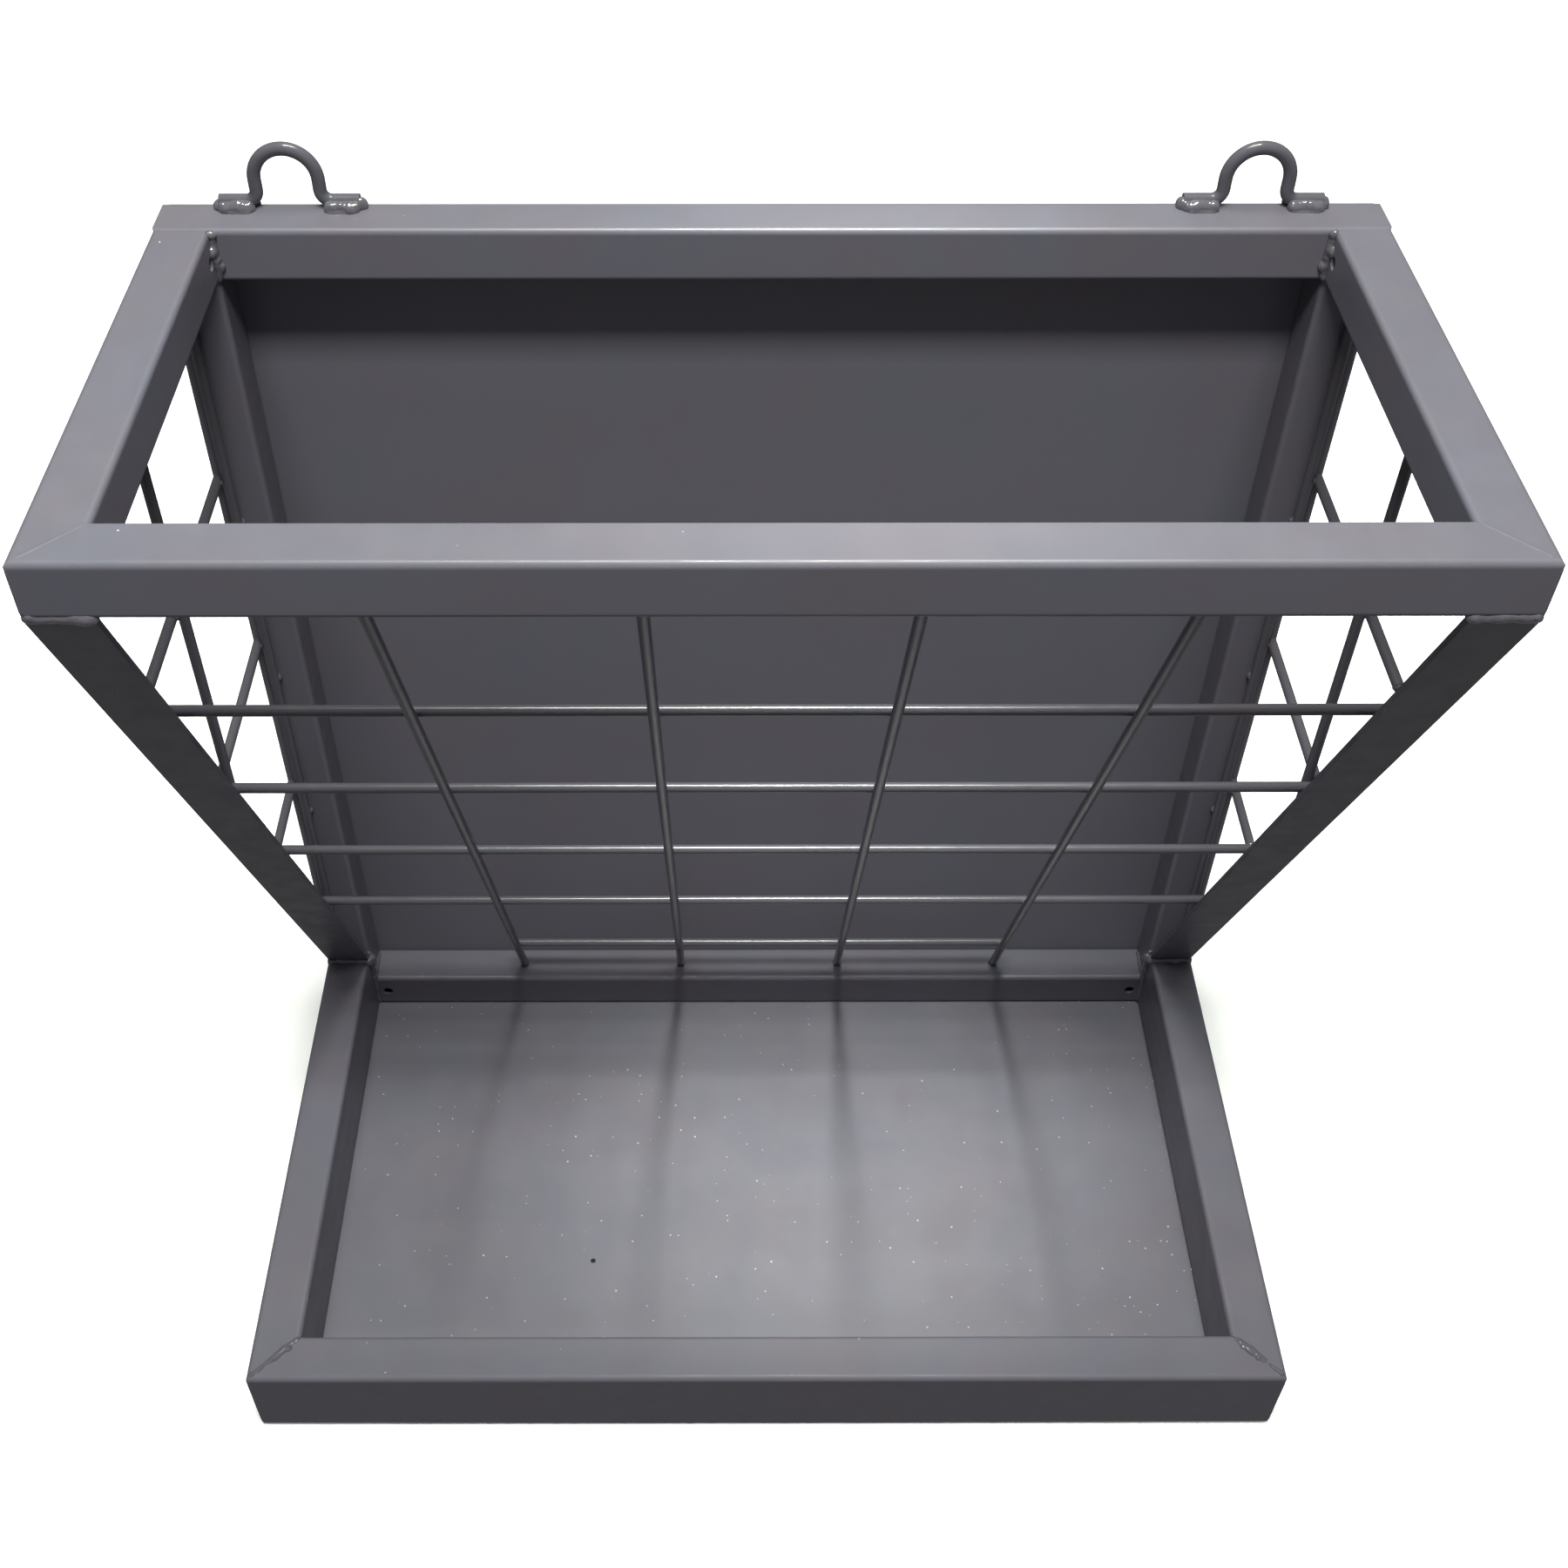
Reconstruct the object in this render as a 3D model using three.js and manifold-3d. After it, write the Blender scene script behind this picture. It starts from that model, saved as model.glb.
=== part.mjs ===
// Hay rack feeder with a catch tray. Units are millimetres, +Z is up and the front faces -Y.
import * as THREE from 'three';
import { mergeVertices } from 'three/addons/utils/BufferGeometryUtils.js';
import Module from 'manifold-3d';

const wasm = await Module();
wasm.setup();

// Driving dimensions
const overallWidth = 540;
const frameHeight = 542;
const topFrameDepth = 258;
const trayDepth = 310;
const tubeSize = 25;
const trayRailHeight = 50;
const tubeWall = 1.5;
const tubeCorner = 2.5;
const tubeCornerSteps = 3;
const sheetThickness = 1.5;
const sheetInset = 1.5;
const angleSize = 26;
const angleWall = 3;
const angleFillet = 3;
const legSlope = 0.488;
const rodDiameter = 5;
const rodSides = 14;
const frontBarCount = 4;
const frontBarSpacing = 100;
const frontBarSetback = 6;
const frontCrossbarCount = 5;
const frontCrossbarFirst = 124;
const frontCrossbarStep = 89.8;
const sideCrossbarCount = 3;
const sideCrossbarFirst = 131;
const sideCrossbarStep = 104.5;
const sideRodInset = 2.8;
const loopRodDiameter = 6;
const loopHeight = 30;
const loopCentre = 212.6;
const loopWidth = 34;
const loopOuterFoot = 17;
const loopInnerFoot = 17;
const loopSplay = 0;
const loopFootBend = 5;
const loopSteps = 44;
const loopSetback = 4.2;
const ventDiameter = 6;
const ventOffset = 7;
const drainDiameter = 3;
const drainX = -97.5;
const drainFromBack = 212;
const mitreGap = 0.3;
const contactGap = 0.1;

// Sizes worked out from them
const halfWidth = overallWidth / 2;
const overallDepth = trayDepth + sheetThickness;
const backY = overallDepth / 2 - sheetThickness;
const trayFrontY = backY - trayDepth;
const topFrontY = backY - topFrameDepth;
const uprightFrontY = backY - tubeSize;
const bottomZ = sheetThickness;
const topZ = bottomZ + frameHeight;
const railUnderZ = topZ - tubeSize;
const trayTopZ = bottomZ + trayRailHeight;
const bottomRailTopZ = bottomZ + tubeSize;
const innerHalfWidth = halfWidth - tubeSize;
const legAngle = Math.atan(legSlope);
const rodRadius = rodDiameter / 2;
const farAway = 2000;

// Axes of a sloping leg: up along it, and square to its front face, pointing back into the basket
const legUp = new THREE.Vector3(0, -Math.sin(legAngle), Math.cos(legAngle));
const legInward = new THREE.Vector3(0, Math.cos(legAngle), Math.sin(legAngle));
const legFaceTop = new THREE.Vector3(0, topFrontY, railUnderZ);

function toManifold(geometry) {
  const plain = geometry.clone();
  plain.deleteAttribute('normal');
  plain.deleteAttribute('uv');
  const merged = mergeVertices(plain, 1e-4);
  const vertProperties = new Float32Array(merged.attributes.position.array);
  const triVerts = new Uint32Array(merged.index.array);
  return new wasm.Manifold(new wasm.Mesh({ numProp: 3, vertProperties, triVerts }));
}

function toGeometry(manifold) {
  const mesh = manifold.getMesh();
  const geometry = new THREE.BufferGeometry();
  geometry.setAttribute('position', new THREE.BufferAttribute(new Float32Array(mesh.vertProperties), 3));
  geometry.setIndex(new THREE.BufferAttribute(new Uint32Array(mesh.triVerts), 1));
  return geometry;
}

function subtractAll(geometry, cutters) {
  let solid = toManifold(geometry);
  for (const cutter of cutters) {
    solid = solid.subtract(toManifold(cutter));
  }
  return toGeometry(solid);
}

// A block with one face through the point, filling everything that lies in the given direction
function everythingBeyond(point, direction) {
  const block = new THREE.BoxGeometry(farAway, farAway, farAway);
  block.translate(0, 0, farAway / 2);
  const turn = new THREE.Quaternion().setFromUnitVectors(new THREE.Vector3(0, 0, 1), direction.clone().normalize());
  block.applyQuaternion(turn);
  block.translate(point.x, point.y, point.z);
  return block;
}

function vec(x, y, z) {
  return new THREE.Vector3(x, y, z);
}

function roundedRectangle(Outline, width, height, radius) {
  const x = width / 2;
  const y = height / 2;
  const outline = new Outline();
  outline.absarc(x - radius, y - radius, radius, 0, Math.PI / 2);
  outline.absarc(-x + radius, y - radius, radius, Math.PI / 2, Math.PI);
  outline.absarc(-x + radius, -y + radius, radius, Math.PI, 1.5 * Math.PI);
  outline.absarc(x - radius, -y + radius, radius, 1.5 * Math.PI, 2 * Math.PI);
  return outline;
}

// A hollow tube along Z, centred on the origin
function tubeBlank(width, height, length) {
  const section = roundedRectangle(THREE.Shape, width, height, tubeCorner);
  const bore = roundedRectangle(THREE.Path, width - 2 * tubeWall, height - 2 * tubeWall, tubeCorner - tubeWall);
  section.holes.push(bore);
  const options = { depth: length, steps: 1, bevelEnabled: false, curveSegments: tubeCornerSteps };
  const blank = new THREE.ExtrudeGeometry(section, options);
  blank.translate(0, 0, -length / 2);
  return blank;
}

// A tube filling the box between two opposite corners, running along the named axis
function tubeBetween(low, high, axis) {
  const size = high.clone().sub(low);
  const middle = high.clone().add(low).multiplyScalar(0.5);
  let blank;
  if (axis === 'x') {
    blank = tubeBlank(size.z, size.y, size.x);
    blank.rotateY(Math.PI / 2);
  } else if (axis === 'y') {
    blank = tubeBlank(size.x, size.z, size.y);
    blank.rotateX(Math.PI / 2);
  } else {
    blank = tubeBlank(size.x, size.y, size.z);
  }
  blank.translate(middle.x, middle.y, middle.z);
  return blank;
}

// A mitre cut through an outer corner: takes away what lies on the given side, less half the gap
function mitre(corner, direction) {
  const away = direction.clone().normalize();
  return everythingBeyond(corner.clone().addScaledVector(away, -mitreGap / 2), away);
}

function drill(point, diameter, length, axis) {
  const bit = new THREE.CylinderGeometry(diameter / 2, diameter / 2, length, 20);
  if (axis === 'x') {
    bit.rotateZ(Math.PI / 2);
  } else if (axis === 'z') {
    bit.rotateX(Math.PI / 2);
  }
  bit.translate(point.x, point.y, point.z);
  return bit;
}

// A straight rod between two points, which other calls trim to length
function rodBetween(start, end, diameter) {
  const span = end.clone().sub(start);
  const rod = new THREE.CylinderGeometry(diameter / 2, diameter / 2, span.length(), rodSides);
  const turn = new THREE.Quaternion().setFromUnitVectors(vec(0, 1, 0), span.clone().normalize());
  rod.applyQuaternion(turn);
  const middle = start.clone().add(end).multiplyScalar(0.5);
  rod.translate(middle.x, middle.y, middle.z);
  return rod;
}

// Back frame
function backTopRail() {
  const blank = tubeBetween(vec(-halfWidth, uprightFrontY, railUnderZ), vec(halfWidth, backY, topZ), 'x');
  const leftCut = mitre(vec(-halfWidth, 0, topZ), vec(-1, 0, -1));
  const rightCut = mitre(vec(halfWidth, 0, topZ), vec(1, 0, -1));
  return subtractAll(blank, [leftCut, rightCut]);
}

function backUpright(side) {
  const outerX = side * halfWidth;
  const innerX = side * innerHalfWidth;
  const low = vec(Math.min(outerX, innerX), uprightFrontY, bottomZ);
  const high = vec(Math.max(outerX, innerX), backY, topZ);
  const cut = mitre(vec(outerX, 0, topZ), vec(-side, 0, 1));
  return subtractAll(tubeBetween(low, high, 'z'), [cut]);
}

function backBottomRail() {
  const low = vec(-innerHalfWidth, uprightFrontY, bottomZ);
  const high = vec(innerHalfWidth, backY, bottomRailTopZ);
  const ventX = innerHalfWidth - ventOffset;
  const ventZ = (bottomZ + bottomRailTopZ) / 2;
  const vents = [-ventX, ventX].map((x) => drill(vec(x, uprightFrontY, ventZ), ventDiameter, tubeSize, 'y'));
  return subtractAll(tubeBetween(low, high, 'x'), vents);
}

function backPanel() {
  const panel = new THREE.BoxGeometry(overallWidth - 2 * sheetInset, sheetThickness, frameHeight - 2 * sheetInset);
  panel.translate(0, backY + sheetThickness / 2, bottomZ + frameHeight / 2);
  return panel;
}

// Top frame
function topSideRail(side) {
  const outerX = side * halfWidth;
  const innerX = side * innerHalfWidth;
  const low = vec(Math.min(outerX, innerX), topFrontY, railUnderZ);
  const high = vec(Math.max(outerX, innerX), uprightFrontY, topZ);
  const cut = mitre(vec(outerX, topFrontY, 0), vec(-side, -1, 0));
  const vent = drill(vec(innerX, uprightFrontY - ventOffset, topZ - tubeSize / 2), ventDiameter, tubeSize, 'x');
  return subtractAll(tubeBetween(low, high, 'y'), [cut, vent]);
}

function topFrontRail() {
  const low = vec(-halfWidth, topFrontY, railUnderZ);
  const high = vec(halfWidth, topFrontY + tubeSize, topZ);
  const leftCut = mitre(vec(-halfWidth, topFrontY, 0), vec(-1, 1, 0));
  const rightCut = mitre(vec(halfWidth, topFrontY, 0), vec(1, 1, 0));
  return subtractAll(tubeBetween(low, high, 'x'), [leftCut, rightCut]);
}

// Tray
function traySideRail(side) {
  const outerX = side * halfWidth;
  const innerX = side * innerHalfWidth;
  const low = vec(Math.min(outerX, innerX), trayFrontY, bottomZ);
  const high = vec(Math.max(outerX, innerX), uprightFrontY, trayTopZ);
  const cut = mitre(vec(outerX, trayFrontY, 0), vec(-side, -1, 0));
  return subtractAll(tubeBetween(low, high, 'y'), [cut]);
}

function trayFrontRail() {
  const low = vec(-halfWidth, trayFrontY, bottomZ);
  const high = vec(halfWidth, trayFrontY + tubeSize, trayTopZ);
  const leftCut = mitre(vec(-halfWidth, trayFrontY, 0), vec(-1, 1, 0));
  const rightCut = mitre(vec(halfWidth, trayFrontY, 0), vec(1, 1, 0));
  return subtractAll(tubeBetween(low, high, 'x'), [leftCut, rightCut]);
}

function trayPanel() {
  const depth = trayDepth - sheetInset;
  const panel = new THREE.BoxGeometry(overallWidth - 2 * sheetInset, depth, sheetThickness);
  panel.translate(0, backY - depth / 2, sheetThickness / 2);
  const drain = drill(vec(drainX, backY - drainFromBack, 0), drainDiameter, tubeSize, 'z');
  return subtractAll(panel, [drain]);
}

// Sloping leg of angle iron: one flange in front, the other along the outer side
function slopingLeg(side) {
  const section = new THREE.Shape();
  section.moveTo(0, 0);
  section.lineTo(angleSize, 0);
  section.lineTo(angleSize, angleWall);
  section.lineTo(angleWall + angleFillet, angleWall);
  section.quadraticCurveTo(angleWall, angleWall, angleWall, angleWall + angleFillet);
  section.lineTo(angleWall, angleSize);
  section.lineTo(0, angleSize);
  section.closePath();
  const length = 2 * frameHeight;
  const options = { depth: length, steps: 1, bevelEnabled: false, curveSegments: 3 };
  const blank = new THREE.ExtrudeGeometry(section, options);
  blank.translate(0, 0, -length * 0.75);
  const basis = new THREE.Matrix4().makeBasis(vec(1, 0, 0), legInward, legUp);
  blank.applyMatrix4(basis);
  blank.translate(-halfWidth, legFaceTop.y, legFaceTop.z);
  const leg = subtractAll(blank, [
    everythingBeyond(vec(0, 0, railUnderZ), vec(0, 0, 1)),
    everythingBeyond(vec(0, 0, trayTopZ), vec(0, 0, -1)),
    everythingBeyond(vec(0, uprightFrontY - contactGap, 0), vec(0, 1, 0)),
  ]);
  if (side > 0) {
    leg.scale(-1, 1, 1);
    leg.setIndex(Array.from(leg.index.array).reverse());
  }
  return leg;
}

// Front grille: the bars slope with the legs, and the crossbars lie behind them, one rod back
const barTop = vec(0, topFrontY + frontBarSetback, railUnderZ);
const barFoot = vec(0, backY - tubeSize / 2, bottomRailTopZ);
const barSlope = (barFoot.y - barTop.y) / (barTop.z - barFoot.z);
const barTilt = Math.atan(barSlope);

function frontBar(index) {
  const x = (index - (frontBarCount - 1) / 2) * frontBarSpacing;
  const along = barTop.clone().sub(barFoot).normalize();
  const start = barFoot.clone().addScaledVector(along, -tubeSize).setX(x);
  const end = barTop.clone().addScaledVector(along, tubeSize).setX(x);
  return subtractAll(rodBetween(start, end, rodDiameter), [
    everythingBeyond(vec(0, 0, railUnderZ), vec(0, 0, 1)),
    everythingBeyond(vec(0, 0, bottomRailTopZ), vec(0, 0, -1)),
  ]);
}

function frontCrossbar(index) {
  const z = topZ - frontCrossbarFirst - index * frontCrossbarStep;
  const barY = barTop.y + barSlope * (barTop.z - z);
  const y = barY + (rodDiameter + contactGap) / Math.cos(barTilt);
  // the lowest one only joins the bars to each other
  const lowest = index === frontCrossbarCount - 1;
  const outerBarSide = (frontBarCount - 1) / 2 * frontBarSpacing + rodRadius;
  const reach = lowest ? outerBarSide : halfWidth - angleWall - contactGap;
  return rodBetween(vec(-reach, y, z), vec(reach, y, z), rodDiameter);
}

// Side grille
const sideCrossbarX = halfWidth - sideRodInset;
const sideBarX = sideCrossbarX - rodDiameter - contactGap;
const flangeBack = legFaceTop.clone().addScaledVector(legInward, angleWall + contactGap);
const flangeEdge = legFaceTop.clone().addScaledVector(legInward, angleSize + contactGap);
const legOutward = legInward.clone().negate();

function sideBar(side, y) {
  const rod = rodBetween(vec(side * sideBarX, y, bottomZ), vec(side * sideBarX, y, railUnderZ), rodDiameter);
  return subtractAll(rod, [
    everythingBeyond(flangeBack, legOutward),
    everythingBeyond(vec(0, 0, trayTopZ), vec(0, 0, -1)),
  ]);
}

function sideCrossbar(side, index) {
  const x = side * sideCrossbarX;
  const z = topZ - sideCrossbarFirst - index * sideCrossbarStep;
  const rod = rodBetween(vec(x, topFrontY, z), vec(x, uprightFrontY, z), rodDiameter);
  return subtractAll(rod, [everythingBeyond(flangeEdge, legOutward)]);
}

// A path of straight runs joined by rounded corners, each corner given as [x, z, tangent length]
function roundedPath(corners, y) {
  const path = new THREE.CurvePath();
  const points = corners.map(([x, z]) => vec(x, y, z));
  const handle = 0.5523;
  let from = points[0];
  for (let i = 1; i < points.length - 1; i += 1) {
    const tangent = corners[i][2];
    const entry = points[i].clone().lerp(points[i - 1], tangent / points[i].distanceTo(points[i - 1]));
    const exit = points[i].clone().lerp(points[i + 1], tangent / points[i].distanceTo(points[i + 1]));
    if (from.distanceTo(entry) > contactGap) {
      path.add(new THREE.LineCurve3(from, entry));
    }
    const entryHandle = entry.clone().lerp(points[i], handle);
    const exitHandle = exit.clone().lerp(points[i], handle);
    path.add(new THREE.CubicBezierCurve3(entry, entryHandle, exitHandle, exit));
    from = exit;
  }
  path.add(new THREE.LineCurve3(from, points[points.length - 1]));
  return path;
}

function hangingLoop(side) {
  const footZ = topZ + loopRodDiameter / 2;
  const archZ = topZ + loopHeight - loopRodDiameter / 2;
  const halfSpan = (loopWidth - loopRodDiameter) / 2;
  const outerX = side * (loopCentre + halfSpan);
  const innerX = side * (loopCentre - halfSpan);
  const splayX = innerX - side * loopSplay;
  const corners = [
    [outerX + side * loopOuterFoot, footZ],
    [outerX, footZ, loopFootBend],
    [outerX, archZ, halfSpan],
    [innerX, archZ, halfSpan],
    [splayX, footZ, loopFootBend],
    [splayX - side * loopInnerFoot, footZ],
  ];
  const path = roundedPath(corners, backY - loopSetback);
  const section = new THREE.Shape();
  section.absarc(0, 0, loopRodDiameter / 2, 0, 2 * Math.PI);
  const options = { steps: loopSteps, extrudePath: path, curveSegments: rodSides, bevelEnabled: false };
  return new THREE.ExtrudeGeometry(section, options);
}

const part = new THREE.Group();
part.name = 'hay_rack_feeder';

function add(name, geometry, color) {
  const material = new THREE.MeshStandardMaterial({ color, roughness: 0.42, metalness: 0.6 });
  const mesh = new THREE.Mesh(geometry, material);
  mesh.name = name;
  part.add(mesh);
}

const tubePaint = 0x55535c;
const sheetPaint = 0x4f4d56;
const rodPaint = 0x403e46;
const sides = [['left', -1], ['right', 1]];

add('back_top_rail', backTopRail(), tubePaint);
add('back_bottom_rail', backBottomRail(), tubePaint);
add('back_panel', backPanel(), sheetPaint);
add('top_front_rail', topFrontRail(), tubePaint);
add('tray_front_rail', trayFrontRail(), tubePaint);
add('tray_panel', trayPanel(), sheetPaint);
for (const [name, side] of sides) {
  add(`back_${name}_upright`, backUpright(side), tubePaint);
  add(`top_${name}_rail`, topSideRail(side), tubePaint);
  add(`tray_${name}_rail`, traySideRail(side), tubePaint);
  add(`${name}_leg`, slopingLeg(side), tubePaint);
  add(`${name}_side_bar_rear`, sideBar(side, uprightFrontY - rodRadius - contactGap), rodPaint);
  add(`${name}_side_bar_mid`, sideBar(side, backY - topFrameDepth / 2), rodPaint);
  for (let i = 0; i < sideCrossbarCount; i += 1) {
    add(`${name}_side_crossbar_${i + 1}`, sideCrossbar(side, i), rodPaint);
  }
  add(`${name}_hanging_loop`, hangingLoop(side), rodPaint);
}
for (let i = 0; i < frontBarCount; i += 1) {
  add(`front_bar_${i + 1}`, frontBar(i), rodPaint);
}
for (let i = 0; i < frontCrossbarCount; i += 1) {
  add(`front_crossbar_${i + 1}`, frontCrossbar(i), rodPaint);
}

export default part;
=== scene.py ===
import math
import bmesh
import bpy
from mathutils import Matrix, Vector, noise


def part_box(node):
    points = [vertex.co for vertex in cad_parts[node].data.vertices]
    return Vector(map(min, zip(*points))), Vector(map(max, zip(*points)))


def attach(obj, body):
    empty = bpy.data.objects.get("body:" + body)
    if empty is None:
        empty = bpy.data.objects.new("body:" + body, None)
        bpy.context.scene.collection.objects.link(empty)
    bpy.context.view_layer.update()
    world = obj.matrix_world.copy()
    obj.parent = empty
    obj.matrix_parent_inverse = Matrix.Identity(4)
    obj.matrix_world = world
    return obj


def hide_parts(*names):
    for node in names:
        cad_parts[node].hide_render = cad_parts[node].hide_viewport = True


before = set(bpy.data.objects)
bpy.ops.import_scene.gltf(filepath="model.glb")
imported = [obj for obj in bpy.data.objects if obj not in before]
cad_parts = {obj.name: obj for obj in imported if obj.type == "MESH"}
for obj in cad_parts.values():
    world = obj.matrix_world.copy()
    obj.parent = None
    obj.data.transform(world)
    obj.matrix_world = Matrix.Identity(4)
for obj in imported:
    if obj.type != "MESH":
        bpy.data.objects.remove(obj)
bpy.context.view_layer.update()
mm = 0.001
print("frame loaded:", len(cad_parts), "CAD nodes")


def linearColour(hexText):
    values = [int(hexText[i:i + 2], 16) / 255 for i in (1, 3, 5)]
    return tuple(v / 12.92 if v <= 0.04045 else ((v + 0.055) / 1.055) ** 2.4 for v in values) + (1.0,)


# adds one node with its settings, its fixed values and the links that come into it
def addNode(tree, kind, settings=None, values=None, links=None):
    node = tree.nodes.new(kind)
    for name, value in (settings or {}).items():
        setattr(node, name, value)
    for socket, value in (values or {}).items():
        node.inputs[socket].default_value = value
    for socket, source in (links or {}).items():
        tree.links.new(source, node.inputs[socket])
    return node


def newObject(name, mesh):
    piece = bpy.data.objects.new(name, mesh)
    bpy.context.scene.collection.objects.link(piece)
    return piece


# bakes the modifiers into a plain mesh and takes them off
def settle(piece):
    graph = bpy.context.evaluated_depsgraph_get()
    mesh = bpy.data.meshes.new_from_object(
        piece.evaluated_get(graph), preserve_all_data_layers=True, depsgraph=graph)
    piece.modifiers.clear()
    piece.data = mesh
    return piece


def meshFrom(build, name):
    mesh = bpy.data.meshes.new(name)
    build.to_mesh(mesh)
    build.free()
    return mesh


# edges sharper than this stay sharp
sharpDegrees = {"steel": 30, "rod": 50, "weld": 80}


def smoothByAngle(mesh, degrees):
    mesh.shade_smooth()
    mesh.set_sharp_from_angle(angle=math.radians(degrees))


def finishPiece(piece, slotName, *nodeNames):
    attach(piece, "root")
    if nodeNames:
        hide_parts(*nodeNames)
    return piece


leftLow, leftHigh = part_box("back_left_upright")
topFrontLow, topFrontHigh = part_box("top_front_rail")
trayFrontLow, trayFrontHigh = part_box("tray_front_rail")
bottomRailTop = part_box("back_bottom_rail")[1].z
backPanelLow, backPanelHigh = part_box("back_panel")
trayPanelLow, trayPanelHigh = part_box("tray_panel")
halfWidth = -leftLow.x
tubeSize = leftHigh.x - leftLow.x
innerHalf = halfWidth - tubeSize
uprightFront = leftLow.y
frameBack = leftHigh.y
frameBottom = leftLow.z
frameTop = topFrontHigh.z
railUnder = topFrontLow.z
topFront = topFrontLow.y
trayFront = trayFrontLow.y
trayTop = trayFrontHigh.z

cameraView = {
    "place": (-0.01947, -0.59806, 0.93257),
    "pitchDegrees": 45.36,   # below level
    "yawDegrees": -0.1,
    "lens": 41.62,
    "sensor": 36,
    "shift": (0.0341, 0.0047),
}
cameraData = bpy.data.cameras.new("camera")
cameraData.lens = cameraView["lens"]
cameraData.sensor_width = cameraView["sensor"]
cameraData.shift_x, cameraData.shift_y = cameraView["shift"]
cameraData.clip_start = 0.01
camera = newObject("camera", cameraData)
camera.location = cameraView["place"]
camera.rotation_euler = (
    math.radians(90 - cameraView["pitchDegrees"]), 0, math.radians(cameraView["yawDegrees"]))
bpy.context.scene.camera = camera

coatLook = {
    "colour": "#555560",         # graphite with a trace of blue
    "drift": "#58535C",          # where it leans to plum
    "dust": "#B5B1B6",
    "roughness": 0.40,
    "roughnessSwing": 0.07,
    "cloudSize": 55 * mm,        # slow drift of tone
    "wipeWidth": 14 * mm,        # dull bands left by wiping, drawn out along one axis
    "wipeLength": 160 * mm,
    "peelSize": 1.5 * mm,        # orange peel of the cured powder
    "peelHeight": 0.03 * mm,
    "gritCell": 6 * mm,          # specks of grit and chaff, about one for each cell that is chosen
    "gritRadius": 0.085,         # share of a cell
    "gritShare": 0.25,
    "gritCover": 0.8,
    "film": 0.05,                # thin dust on faces that look up
    "upFrom": 0.3,               # upward part of the normal where dust starts to lie
    "upTo": 0.9,                 # and where all of it does
    "cling": 0.12,               # share of the dust on upright faces
    "patchShare": 0.4,           # size of a patch of dust against a cloud of tone
    "dustDulls": 0.5,
    "gloss": 0.0,                # a second, sharper skin where the powder has pooled
    "glossRoughness": 0.07,
}


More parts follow.
